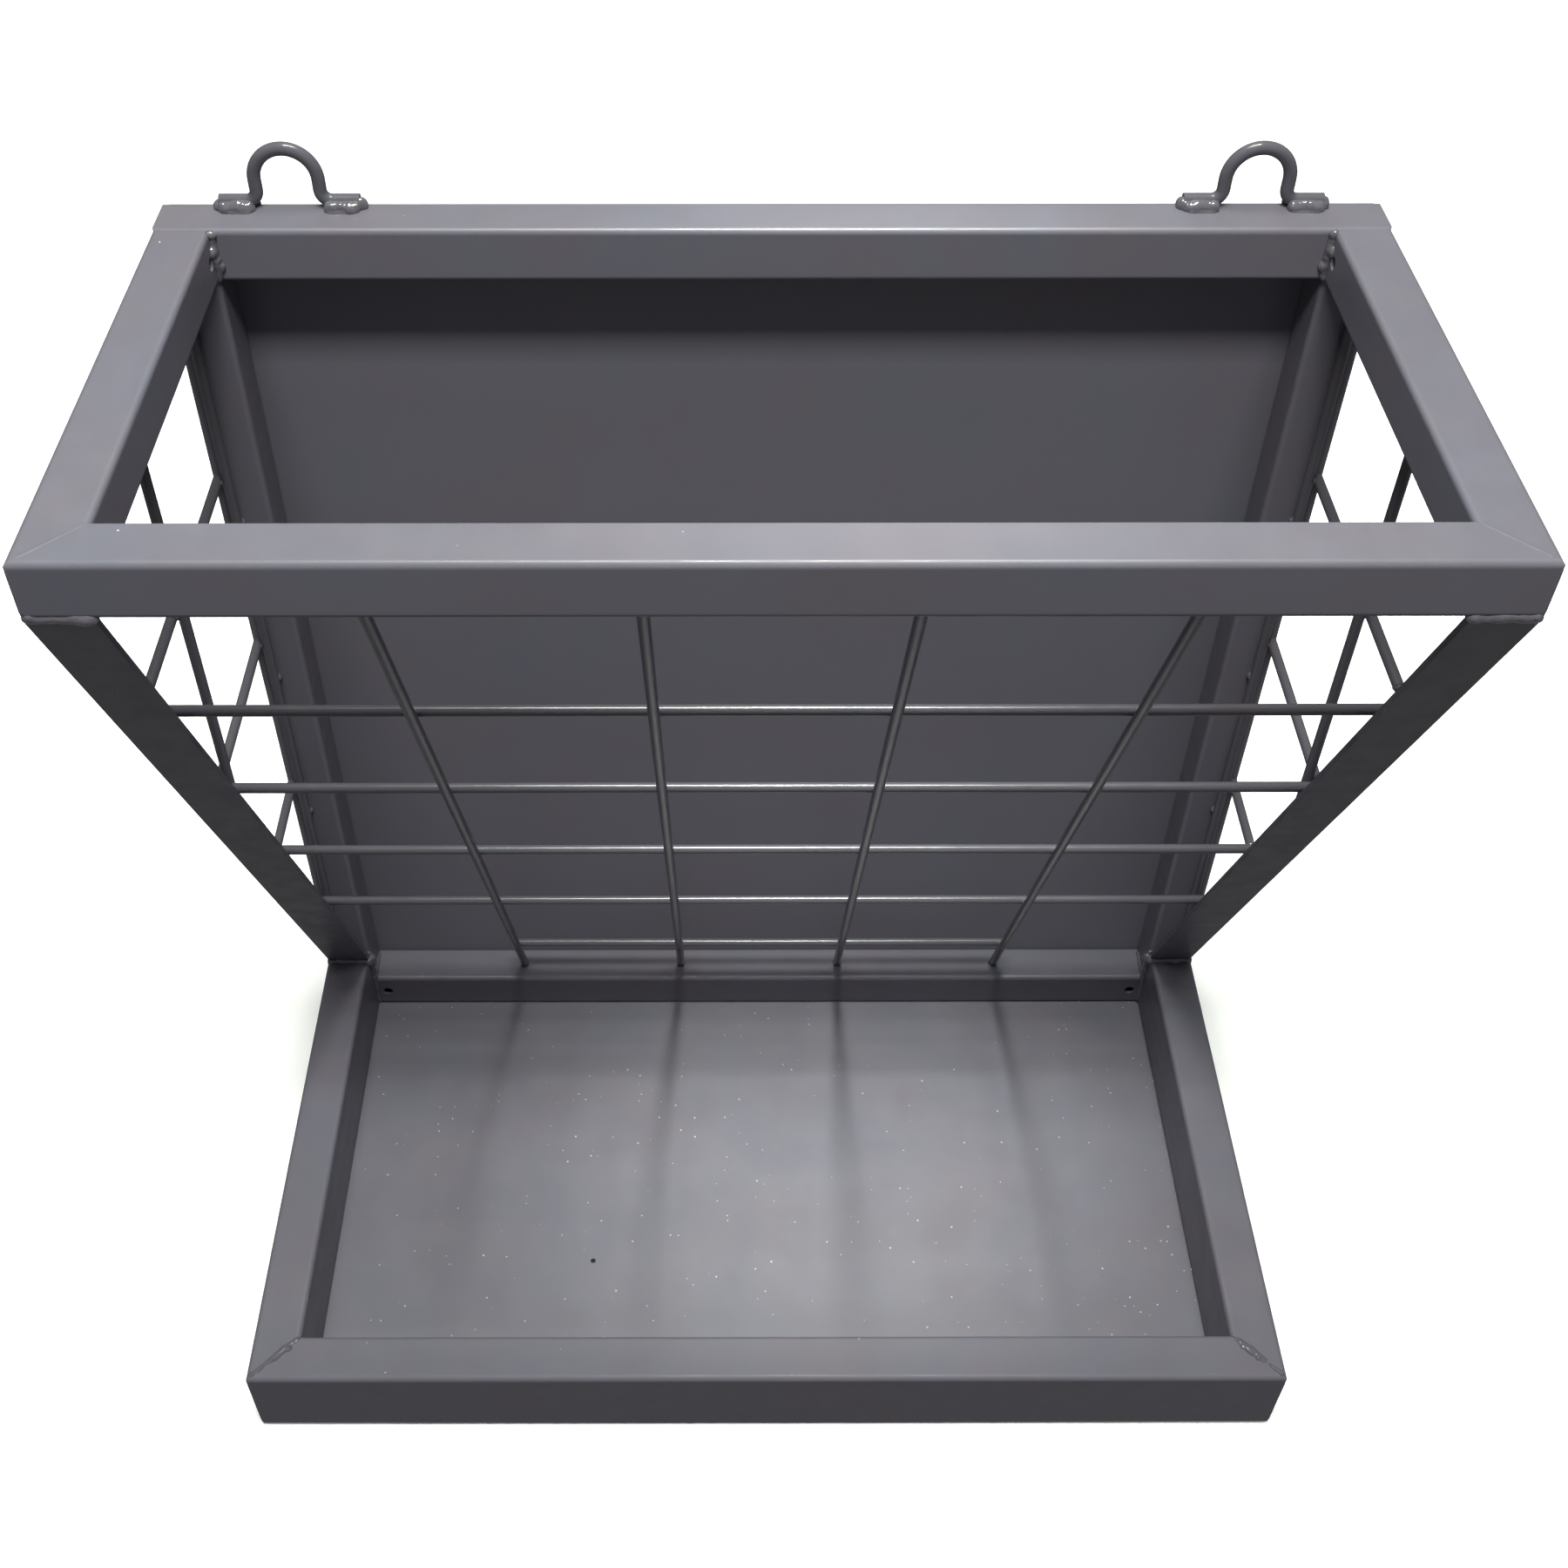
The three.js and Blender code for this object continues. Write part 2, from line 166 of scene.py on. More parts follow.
# Satin powder coat on steel: a dielectric skin with soft highlights and faint orange peel, tone that
# drifts from blue to plum, and dust and pale specks that gather on the faces that look up
def powderCoat(name, changes):
    look = {**coatLook, **changes}
    material = bpy.data.materials.new(name)
    material.use_nodes = True
    tree = material.node_tree
    shader = tree.nodes["Principled BSDF"]
    place = addNode(tree, "ShaderNodeTexCoord").outputs["Object"]
    cloud = addNode(tree, "ShaderNodeTexNoise",
                    values={"Scale": 1 / look["cloudSize"], "Detail": 4.0, "Roughness": 0.6},
                    links={"Vector": place})
    lean = addNode(tree, "ShaderNodeMapRange", {"clamp": True}, {"From Min": 0.3, "From Max": 0.7},
                   {"Value": cloud.outputs["Fac"]})
    tone = addNode(tree, "ShaderNodeMix", {"data_type": "RGBA"},
                   {6: linearColour(look["colour"]), 7: linearColour(look["drift"])},
                   {0: lean.outputs["Result"]})
    # a share of the dust also clings to upright faces
    normal = addNode(tree, "ShaderNodeNewGeometry").outputs["Normal"]
    facing = addNode(tree, "ShaderNodeSeparateXYZ", links={"Vector": normal})
    upward = addNode(tree, "ShaderNodeMapRange", {"clamp": True},
                     {"From Min": look["upFrom"], "From Max": look["upTo"], "To Min": look["cling"]},
                     {"Value": facing.outputs["Z"]})
    patch = addNode(tree, "ShaderNodeTexNoise",
                    values={"Scale": 1 / (look["cloudSize"] * look["patchShare"]), "Detail": 6.0,
                            "Roughness": 0.7}, links={"Vector": place})
    film = addNode(tree, "ShaderNodeMath", {"operation": "MULTIPLY"},
                   links={0: upward.outputs["Result"], 1: patch.outputs["Fac"]})
    filmAmount = addNode(tree, "ShaderNodeMath", {"operation": "MULTIPLY"},
                         {1: look["film"]}, {0: film.outputs["Value"]})
    # grit: small round spots, each in its own cell, of mixed sizes
    cells = addNode(tree, "ShaderNodeTexVoronoi", values={"Scale": 1 / look["gritCell"], "Randomness": 1.0},
                    links={"Vector": place})
    dice = addNode(tree, "ShaderNodeSeparateColor", links={"Color": cells.outputs["Color"]})
    reach = addNode(tree, "ShaderNodeMath", {"operation": "MULTIPLY"}, {1: look["gritRadius"]},
                    {0: dice.outputs["Green"]})
    spotMask = addNode(tree, "ShaderNodeMath", {"operation": "LESS_THAN"},
                       links={0: cells.outputs["Distance"], 1: reach.outputs["Value"]})
    odds = addNode(tree, "ShaderNodeMath", {"operation": "MULTIPLY"}, {1: look["gritShare"]},
                   {0: upward.outputs["Result"]})
    drifted = addNode(tree, "ShaderNodeMath", {"operation": "MULTIPLY"},
                      links={0: odds.outputs["Value"], 1: lean.outputs["Result"]})
    chosen = addNode(tree, "ShaderNodeMath", {"operation": "LESS_THAN"},
                     links={0: dice.outputs["Red"], 1: drifted.outputs["Value"]})
    grit = addNode(tree, "ShaderNodeMath", {"operation": "MULTIPLY"},
                   links={0: spotMask.outputs["Value"], 1: chosen.outputs["Value"]})
    gritAmount = addNode(tree, "ShaderNodeMath", {"operation": "MULTIPLY"},
                         {1: look["gritCover"]}, {0: grit.outputs["Value"]})
    dustMask = addNode(tree, "ShaderNodeMath", {"operation": "MAXIMUM"},
                       links={0: filmAmount.outputs["Value"], 1: gritAmount.outputs["Value"]})
    colour = addNode(tree, "ShaderNodeMix", {"data_type": "RGBA"},
                     {7: linearColour(look["dust"])},
                     {0: dustMask.outputs["Value"], 6: tone.outputs[2]})
    tree.links.new(colour.outputs[2], shader.inputs["Base Color"])
    # wiping leaves faint bands of duller coat
    stretch = addNode(tree, "ShaderNodeMapping", {"vector_type": "POINT"},
                      {"Scale": (1 / look["wipeWidth"], 1 / look["wipeLength"], 1 / look["wipeWidth"])},
                      {"Vector": place})
    wipe = addNode(tree, "ShaderNodeTexNoise", values={"Scale": 1.0, "Detail": 3.0},
                   links={"Vector": stretch.outputs["Vector"]})
    both = addNode(tree, "ShaderNodeMath", {"operation": "MULTIPLY"},
                   links={0: wipe.outputs["Fac"], 1: patch.outputs["Fac"]})
    gloss = addNode(tree, "ShaderNodeMapRange",
                    values={"From Min": 0.1, "From Max": 0.4,
                            "To Min": look["roughness"] - look["roughnessSwing"],
                            "To Max": look["roughness"] + look["roughnessSwing"]},
                    links={"Value": both.outputs["Value"]})
    dusted = addNode(tree, "ShaderNodeMath", {"operation": "MULTIPLY_ADD", "use_clamp": True},
                     {1: look["dustDulls"]}, {0: dustMask.outputs["Value"], 2: gloss.outputs["Result"]})
    tree.links.new(dusted.outputs["Value"], shader.inputs["Roughness"])
    peel = addNode(tree, "ShaderNodeTexNoise",
                   values={"Scale": 1 / look["peelSize"], "Detail": 2.0}, links={"Vector": place})
    bump = addNode(tree, "ShaderNodeBump", values={"Strength": 1.0, "Distance": look["peelHeight"]},
                   links={"Height": peel.outputs["Fac"]})
    tree.links.new(bump.outputs["Normal"], shader.inputs["Normal"])
    tree.links.new(bump.outputs["Normal"], shader.inputs["Coat Normal"])
    shader.inputs["Coat Weight"].default_value = look["gloss"]
    shader.inputs["Coat Roughness"].default_value = look["glossRoughness"]
    shader.inputs["IOR"].default_value = 1.5
    shader.inputs["Metallic"].default_value = 0.0
    return material


graphiteCoatTube = powderCoat("graphite_powder_coat_tube", {})
# the sheets lie under the hay: more grit, and longer bands where they are wiped out
graphiteCoatSheet = powderCoat("graphite_powder_coat_sheet", {
    "colour": "#585863", "drift": "#5B565F", "gritShare": 0.95, "gritCell": 4.5 * mm,
    "gritRadius": 0.13, "cloudSize": 80 * mm, "wipeWidth": 22 * mm, "wipeLength": 300 * mm, "film": 0.06})
# a round rod shows the coat at its smoothest and glossiest; its colour is the tubes' paint painted a shade
# darker, as painted shade
graphiteCoatRodPaintedShade = powderCoat("graphite_powder_coat_rod_painted_shade", {
    "colour": "#47474F", "drift": "#4A454C", "roughness": 0.2, "roughnessSwing": 0.03,
    "gritShare": 0.15, "film": 0.03, "cloudSize": 30 * mm, "peelHeight": 0.012 * mm})
# coat pooled over a weld: wet-looking, with sharp glints on its lumps
graphiteCoatWeld = powderCoat("graphite_powder_coat_weld", {
    "colour": "#4B4B54", "drift": "#4C474E", "roughness": 0.15, "roughnessSwing": 0.05,
    "cloudSize": 10 * mm, "gritShare": 0.1, "film": 0.05, "peelSize": 2.6 * mm, "peelHeight": 0.3 * mm,
    "gloss": 1.0})
print("materials made")


# pairs of points, outer skin and inner skin, round a rectangular tube with rolled corners
def tubeSection(width, height, wall, radius, arcSteps, flatStart):
    pairs = []
    for corner in range(4):
        signX = (1, -1, -1, 1)[corner]
        signY = (1, 1, -1, -1)[corner]
        centre = Vector((signX * (width / 2 - radius), signY * (height / 2 - radius)))
        startAngle = corner * math.pi / 2
        first = Vector((math.cos(startAngle), math.sin(startAngle)))
        last = Vector((math.cos(startAngle + math.pi / 2), math.sin(startAngle + math.pi / 2)))
        # a short flat on each side of the arc keeps the big faces flat under smooth shading
        pairs.append((centre + first * radius - last * flatStart,
                      centre + first * (radius - wall) - last * flatStart))
        for step in range(arcSteps + 1):
            angle = startAngle + step / arcSteps * math.pi / 2
            out = Vector((math.cos(angle), math.sin(angle)))
            pairs.append((centre + out * radius, centre + out * (radius - wall)))
        pairs.append((centre + last * radius - first * flatStart,
                      centre + last * (radius - wall) - first * flatStart))
    return pairs


# a wall of paired points swept straight along a direction, each end cut by planes given as (point, normal)
def sweptWall(name, pairs, closed, origin, uAxis, vAxis, along, startPlanes, endPlanes, material):
    build = bmesh.new()

    def corner(point, planes, pick):
        base = origin + uAxis * point.x + vAxis * point.y
        reach = pick(((Vector(place) - base).dot(normal)) / along.dot(normal) for place, normal in planes)
        return build.verts.new(base + along * reach)

    rings = []
    for outer, inner in pairs:
        rings.append([corner(outer, startPlanes, max), corner(inner, startPlanes, max),
                      corner(outer, endPlanes, min), corner(inner, endPlanes, min)])
    count = len(rings)
    for i in range(count if closed else count - 1):
        a, b = rings[i], rings[(i + 1) % count]
        build.faces.new((a[0], b[0], b[2], a[2]))
        build.faces.new((a[1], a[3], b[3], b[1]))
        build.faces.new((a[0], a[1], b[1], b[0]))
        build.faces.new((a[2], b[2], b[3], a[3]))
    if not closed:
        for ring in (rings[0], rings[-1]):
            build.faces.new((ring[0], ring[2], ring[3], ring[1]))
    bmesh.ops.recalc_face_normals(build, faces=build.faces)
    mesh = meshFrom(build, name)
    smoothByAngle(mesh, sharpDegrees["steel"])
    mesh.materials.append(material)
    return newObject(name, mesh)


xAxis, yAxis, zAxis = Vector((1, 0, 0)), Vector((0, 1, 0)), Vector((0, 0, 1))
tubeValues = {
    "wall": 1.5 * mm,
    "cornerRadius": 2.6 * mm,
    "arcSteps": 8,
    "flatStart": 0.4 * mm,
    "ventDiameter": 6 * mm,
    "ventOffset": 7 * mm,
    "weldPrep": 1.0 * mm,     # chamfer on the corner of a mitre, filled by its weld
    "trayGap": 0.35 * mm,     # fit of the mitres of the tray, left open where the bead stops
    "buttGap": 0.3 * mm,      # fit of the side rails on the rear frame
    "holeSides": 28,
}


def tubeAlong(name, axisName, low, high, startPlanes, endPlanes):
    low, high = Vector(low), Vector(high)
    middle = (low + high) / 2
    size = high - low
    uAxis, vAxis, along = {
        "x": (yAxis, zAxis, xAxis), "y": (xAxis, zAxis, yAxis), "z": (xAxis, yAxis, zAxis)}[axisName]
    section = tubeSection(size.dot(uAxis), size.dot(vAxis), tubeValues["wall"], tubeValues["cornerRadius"],
                          tubeValues["arcSteps"], tubeValues["flatStart"])
    origin = middle - along * middle.dot(along)
    return sweptWall(name, section, True, origin, uAxis, vAxis, along,
                     startPlanes, endPlanes, graphiteCoatTube)


# cuts round holes right through one wall
def boreHoles(piece, holes):
    for place, diameter, axis, depth in holes:
        build = bmesh.new()
        bmesh.ops.create_cone(build, cap_ends=True, segments=tubeValues["holeSides"], radius1=diameter / 2,
                              radius2=diameter / 2, depth=depth)
        turn = zAxis.rotation_difference(axis).to_matrix()
        bmesh.ops.rotate(build, verts=build.verts, matrix=turn)
        bmesh.ops.translate(build, verts=build.verts, vec=place)
        drill = newObject("drill", meshFrom(build, "drill"))
        cut = piece.modifiers.new("hole", "BOOLEAN")
        cut.operation = "DIFFERENCE"
        cut.solver = "EXACT"
        cut.object = drill
        settle(piece)
        bpy.data.objects.remove(drill)
    smoothByAngle(piece.data, sharpDegrees["steel"])


vent = tubeValues["ventDiameter"]
prep = tubeValues["weldPrep"]
for sideName, side in (("left", -1), ("right", 1)):
    outerX, innerX = side * halfWidth, side * innerHalf
    lowX, highX = min(outerX, innerX), max(outerX, innerX)
    upright = tubeAlong(
        sideName + "Upright", "z", (lowX, uprightFront, frameBottom), (highX, frameBack, frameTop),
        [((0, 0, frameBottom), zAxis)], [((outerX, 0, frameTop), Vector((-side, 0, 1)).normalized())])
    finishPiece(upright, "tube_paint", "back_" + sideName + "_upright")
    topRail = tubeAlong(
        "top" + sideName.capitalize() + "Rail", "y",
        (lowX, topFront, railUnder), (highX, uprightFront, frameTop),
        [((outerX, topFront, 0), Vector((side, 1, 0)).normalized()),
         ((outerX - side * prep, topFront, 0), Vector((-side, 1, 0)).normalized())],
        [((0, uprightFront - tubeValues["buttGap"], 0), yAxis)])
    boreHoles(topRail, [(Vector((innerX, uprightFront - tubeValues["ventOffset"], frameTop - tubeSize / 2)),
                         vent, xAxis, tubeSize / 2)])
    finishPiece(topRail, "tube_paint", "top_" + sideName + "_rail")
    trayRail = tubeAlong(
        "tray" + sideName.capitalize() + "Rail", "y",
        (lowX, trayFront, frameBottom), (highX, uprightFront, trayTop),
        [((outerX, trayFront + tubeValues["trayGap"], 0), Vector((side, 1, 0)).normalized()),
         ((outerX - side * prep, trayFront, 0), Vector((-side, 1, 0)).normalized())],
        [((0, uprightFront, 0), yAxis)])
    finishPiece(trayRail, "tube_paint", "tray_" + sideName + "_rail")

mitreLeft, mitreRight = Vector((1, -1, 0)).normalized(), Vector((1, 1, 0)).normalized()
for name, nodeName, front, bottom, top in (
        ("topFrontRail", "top_front_rail", topFront, railUnder, frameTop),
        ("trayFrontRail", "tray_front_rail", trayFront, frameBottom, trayTop)):
    frontRail = tubeAlong(
        name, "x", (-halfWidth, front, bottom), (halfWidth, front + tubeSize, top),
        [((-halfWidth, front, 0), mitreLeft), ((-halfWidth + prep, front, 0), mitreRight)],
        [((halfWidth, front, 0), mitreRight), ((halfWidth - prep, front, 0), mitreLeft)])
    finishPiece(frontRail, "tube_paint", nodeName)
backTopRail = tubeAlong(
    "backTopRail", "x", (-halfWidth, uprightFront, railUnder), (halfWidth, frameBack, frameTop),
    [((-halfWidth, 0, frameTop), Vector((1, 0, 1)).normalized())],
    [((halfWidth, 0, frameTop), Vector((1, 0, -1)).normalized())])
finishPiece(backTopRail, "tube_paint", "back_top_rail")
backBottomRail = tubeAlong(
    "backBottomRail", "x", (-innerHalf, uprightFront, frameBottom), (innerHalf, frameBack, bottomRailTop),
    [((-innerHalf, 0, 0), xAxis)], [((innerHalf, 0, 0), xAxis)])
ventX = innerHalf - tubeValues["ventOffset"]
ventZ = (frameBottom + bottomRailTop) / 2
boreHoles(backBottomRail, [(Vector((x, uprightFront, ventZ)), vent, yAxis, tubeSize / 2)
                           for x in (-ventX, ventX)])
finishPiece(backBottomRail, "tube_paint", "back_bottom_rail")

angleValues = {
    "wall": 3 * mm,
    "fillet": 3.2 * mm,       # inside corner
    "heel": 1.0 * mm,         # outside corner
    "arcSteps": 8,
    "flatStart": 0.4 * mm,    # a ring of points close to each bend keeps the flats flat
    "toeShare": 0.985,        # and one close to each toe
    "slope": 0.488,           # how far back for each metre down
}
legLow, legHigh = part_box("left_leg")
flangeWidth = legHigh.x - legLow.x
legAngle = math.atan(angleValues["slope"])
legUp = Vector((0, -math.sin(legAngle), math.cos(legAngle)))
legInward = Vector((0, math.cos(legAngle), math.sin(legAngle)))


# outer and inner skin of an angle, from the toe of the front flange round to the toe of the side flange
def angleSection(width, wall, fillet, heel):
    steps, flatStart, toeShare = angleValues["arcSteps"], angleValues["flatStart"], angleValues["toeShare"]
    pairs = []
    for share in (1, toeShare):
        pairs.append((Vector((width * share, 0)), Vector((width * share, wall))))
    filletCentre = Vector((wall + fillet, wall + fillet))
    heelCentre = Vector((heel, heel))
    pairs.append((Vector((heel + flatStart, 0)), Vector((wall + fillet + flatStart, wall))))
    for step in range(steps + 1):
        angle = 1.5 * math.pi - step / steps * math.pi / 2
        out = Vector((math.cos(angle), math.sin(angle)))
        pairs.append((heelCentre + out * heel, filletCentre + out * fillet))
    pairs.append((Vector((0, heel + flatStart)), Vector((wall, wall + fillet + flatStart))))
    for share in (toeShare, 1):
        pairs.append((Vector((0, width * share)), Vector((wall, width * share))))
    return pairs


for sideName, side in (("left", -1), ("right", 1)):
    section = angleSection(flangeWidth, angleValues["wall"], angleValues["fillet"], angleValues["heel"])
    leg = sweptWall(
        sideName + "Leg", section, False, Vector((side * halfWidth, topFront, railUnder)),
        xAxis * -side, legInward, legUp,
        [((0, 0, trayTop), zAxis), ((0, uprightFront, 0), -yAxis)], [((0, 0, railUnder), zAxis)],
        graphiteCoatTube)
    finishPiece(leg, "tube_paint", sideName + "_leg")

sheetValues = {
    "cell": 12 * mm,
    "wave": 0.35 * mm,        # oil-canning between the welded edges
    "waveSize": 190 * mm,
    "edgeRound": 0.3 * mm,
    "edgeSegments": 2,
    "edgeDegrees": 40,        # only edges sharper than this are rounded
    "fade": 8,                # the wave is at its full height from about a seventh of the way in
    "drainDiameter": 3 * mm,
    "drainX": -97.5 * mm,
    "drainFromBack": 212 * mm,
}


# a flat sheet as a fine grid on both faces, with a slow wave to the inside that dies out at its edges
def wavySheet(name, low, high, thinAxis, bulge, seed):
    low, high = Vector(low), Vector(high)
    axes = [i for i in range(3) if i != thinAxis]
    counts = [max(2, round((high[i] - low[i]) / sheetValues["cell"])) for i in axes]
    steepness = sheetValues["fade"]
    build = bmesh.new()
    grids = []
    for level in (low[thinAxis], high[thinAxis]):
        grid = []
        for i in range(counts[0] + 1):
            row = []
            for j in range(counts[1] + 1):
                s, t = i / counts[0], j / counts[1]
                point = Vector((0, 0, 0))
                point[axes[0]] = low[axes[0]] + (high[axes[0]] - low[axes[0]]) * s
                point[axes[1]] = low[axes[1]] + (high[axes[1]] - low[axes[1]]) * t
                fade = min(1, steepness * s * (1 - s)) * min(1, steepness * t * (1 - t))
                wave = 0.5 + 0.5 * noise.noise(point / sheetValues["waveSize"] + Vector((seed, 0, 0)))
                point[thinAxis] = level + wave * fade * bulge * sheetValues["wave"]
                row.append(build.verts.new(point))
            grid.append(row)
        grids.append(grid)
    for grid in grids:
        for i in range(counts[0]):
            for j in range(counts[1]):
                build.faces.new((grid[i][j], grid[i + 1][j], grid[i + 1][j + 1], grid[i][j + 1]))
    rim = [(i, 0) for i in range(counts[0])] + [(counts[0], j) for j in range(counts[1])]
    rim += [(i, counts[1]) for i in range(counts[0], 0, -1)] + [(0, j) for j in range(counts[1], 0, -1)]
    for k in range(len(rim)):
        a, b = rim[k], rim[(k + 1) % len(rim)]
        build.faces.new((grids[0][a[0]][a[1]], grids[0][b[0]][b[1]],
                         grids[1][b[0]][b[1]], grids[1][a[0]][a[1]]))
    bmesh.ops.recalc_face_normals(build, faces=build.faces)
    mesh = meshFrom(build, name)
    smoothByAngle(mesh, sharpDegrees["steel"])
    mesh.materials.append(graphiteCoatSheet)
    piece = newObject(name, mesh)
    edge = piece.modifiers.new("edge", "BEVEL")
    edge.width = sheetValues["edgeRound"]
    edge.segments = sheetValues["edgeSegments"]
    edge.limit_method = "ANGLE"
    edge.angle_limit = math.radians(sheetValues["edgeDegrees"])
    return settle(piece)


backSheet = wavySheet("backPanel", backPanelLow, backPanelHigh, 1, -1, 3.0)
finishPiece(backSheet, "sheet_paint", "back_panel")
traySheet = wavySheet("trayPanel", trayPanelLow, trayPanelHigh, 2, 1, 11.0)
boreHoles(traySheet, [(Vector((sheetValues["drainX"], frameBack - sheetValues["drainFromBack"], 0)),
                       sheetValues["drainDiameter"], zAxis, tubeSize)])
finishPiece(traySheet, "sheet_paint", "tray_panel")
print("tubes, legs and sheets made")


# a node tree with named inputs, its Group Input's sockets, and a map from input name to identifier
def newTree(name, inputs):
    tree = bpy.data.node_groups.new(name, "GeometryNodeTree")
    tree.interface.new_socket(name="Geometry", in_out="INPUT", socket_type="NodeSocketGeometry")
    tree.interface.new_socket(name="Geometry", in_out="OUTPUT", socket_type="NodeSocketGeometry")
    identifiers = {}
    for inputName, kind in inputs:
        item = tree.interface.new_socket(name=inputName, in_out="INPUT", socket_type="NodeSocket" + kind)
        identifiers[inputName] = item.identifier
    given = addNode(tree, "NodeGroupInput").outputs
    return tree, given, identifiers


def closeTree(tree, geometry, material):
    real = addNode(tree, "GeometryNodeRealizeInstances", links={"Geometry": geometry})
    painted = addNode(tree, "GeometryNodeSetMaterial",
                      links={"Geometry": real.outputs["Geometry"], "Material": material})
    addNode(tree, "NodeGroupOutput", links={"Geometry": painted.outputs["Geometry"]})


# lays the tree on a piece made of loose points and edges, and settles it into a plain mesh
def growPiece(name, points, edges, attributes, tree, identifiers, values):
    mesh = bpy.data.meshes.new(name)
    mesh.from_pydata([tuple(p) for p in points], edges, [])
    for attributeName, numbers in attributes.items():
        attribute = mesh.attributes.new(attributeName, "FLOAT", "POINT")
        attribute.data.foreach_set("value", numbers)
    piece = newObject(name, mesh)
    grow = piece.modifiers.new("grow", "NODES")
    grow.node_group = tree
    for inputName, value in values.items():
        grow[identifiers[inputName]] = tuple(value) if isinstance(value, Vector) else value
    return settle(piece)


# the points of all the lines in one list, and the edges that join them up
def joinLines(lines):
    points, edges = [], []
    for line in lines:
        first = len(points)
        points.extend(line)
        edges.extend((first + i, first + i + 1) for i in range(len(line) - 1))
    return points, edges


def rodTree():
    tree, given, identifiers = newTree("drawn rod", [
        ("Diameter", "Float"), ("Step", "Float"), ("Sides", "Int"), ("Bow", "Float"), ("Bow Size", "Float"),
        ("Seed", "Float"), ("Material", "Material")])
    curve = addNode(tree, "GeometryNodeMeshToCurve", links={"Mesh": given["Geometry"]})
    even = addNode(tree, "GeometryNodeResampleCurve", {"mode": "LENGTH"},
                   links={"Curve": curve.outputs["Curve"], "Length": given["Step"]})
    # a drawn rod is never dead straight: a slow bow that is nothing at its welded ends
    along = addNode(tree, "GeometryNodeSplineParameter").outputs["Factor"]
    back = addNode(tree, "ShaderNodeMath", {"operation": "SUBTRACT"}, {0: 1.0}, {1: along})
    hump = addNode(tree, "ShaderNodeMath", {"operation": "MULTIPLY"},
                   links={0: along, 1: back.outputs["Value"]})
    reach = addNode(tree, "ShaderNodeMath", {"operation": "MULTIPLY"},
                    links={0: hump.outputs["Value"], 1: given["Bow"]})
    rate = addNode(tree, "ShaderNodeMath", {"operation": "DIVIDE"}, {0: 1.0}, {1: given["Bow Size"]})
    drift = addNode(tree, "ShaderNodeTexNoise", {"noise_dimensions": "4D"}, {"Detail": 0.0},
                    {"W": given["Seed"], "Scale": rate.outputs["Value"]})
    centred = addNode(tree, "ShaderNodeVectorMath", {"operation": "SUBTRACT"}, {1: (0.5, 0.5, 0.5)},
                      {0: drift.outputs["Color"]})
    offset = addNode(tree, "ShaderNodeVectorMath", {"operation": "SCALE"},
                     links={0: centred.outputs["Vector"], "Scale": reach.outputs["Value"]})
    bowed = addNode(tree, "GeometryNodeSetPosition",
                    links={"Geometry": even.outputs["Curve"], "Offset": offset.outputs["Vector"]})
    radius = addNode(tree, "ShaderNodeMath", {"operation": "MULTIPLY"}, {1: 0.5}, {0: given["Diameter"]})
    section = addNode(tree, "GeometryNodeCurvePrimitiveCircle",
                      links={"Resolution": given["Sides"], "Radius": radius.outputs["Value"]})
    swept = addNode(tree, "GeometryNodeCurveToMesh", values={"Fill Caps": True},
                    links={"Curve": bowed.outputs["Geometry"], "Profile Curve": section.outputs["Curve"]})
    closeTree(tree, swept.outputs["Mesh"], given["Material"])
    return tree, identifiers


rodGrowth, rodInputs = rodTree()
rodValues = {
    "diameter": 5 * mm,
    "loopDiameter": 6 * mm,
    "step": 6 * mm,
    "loopStep": 0.8 * mm,
    "sides": 24,
    "bow": 3.0 * mm,          # the greatest bow each way is an eighth of this
    "bowSize": 300 * mm,
    "weldIn": 0.9 * mm,       # how far an end sinks into the wall that it is welded to
    "sideBow": 0.6,           # share of the bow on the shorter side rods
}


def growRods(name, lines, diameter, step, bow, seed, slotName, nodeNames):
    points, edges = joinLines(lines)
    piece = growPiece(name, points, edges, {}, rodGrowth, rodInputs, {
        "Diameter": diameter, "Step": step, "Sides": rodValues["sides"], "Bow": bow,
        "Bow Size": rodValues["bowSize"], "Seed": seed, "Material": graphiteCoatRodPaintedShade})
    smoothByAngle(piece.data, sharpDegrees["rod"])
    return finishPiece(piece, slotName, *nodeNames)


rodRadius = rodValues["diameter"] / 2
weldIn = rodValues["weldIn"]
fitRounds = 4                 # a slope is found in a few rounds, each from the one before


# the two ends of the centre line of a sloping bar, from the box round it
def slopingLine(nodeName):
    low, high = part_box(nodeName)
    rise = high.z - low.z
    slant = math.atan((high.y - low.y) / rise)
    for _ in range(fitRounds):
        slant = math.atan((high.y - low.y - 2 * rodRadius / math.cos(slant)) / rise)
    half = rodRadius / math.cos(slant)
    x = (low.x + high.x) / 2
    top, foot = Vector((x, low.y + half, high.z)), Vector((x, high.y - half, low.z))
    sink = (top - foot).normalized() * weldIn
    return [foot - sink, top + sink]


def straightLine(nodeName, axis, startIn, endIn):
    low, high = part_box(nodeName)
    middle = (low + high) / 2
    start, end = middle.copy(), middle.copy()
    start[axis] = low[axis] - startIn
    end[axis] = high[axis] + endIn
    return [start, end]


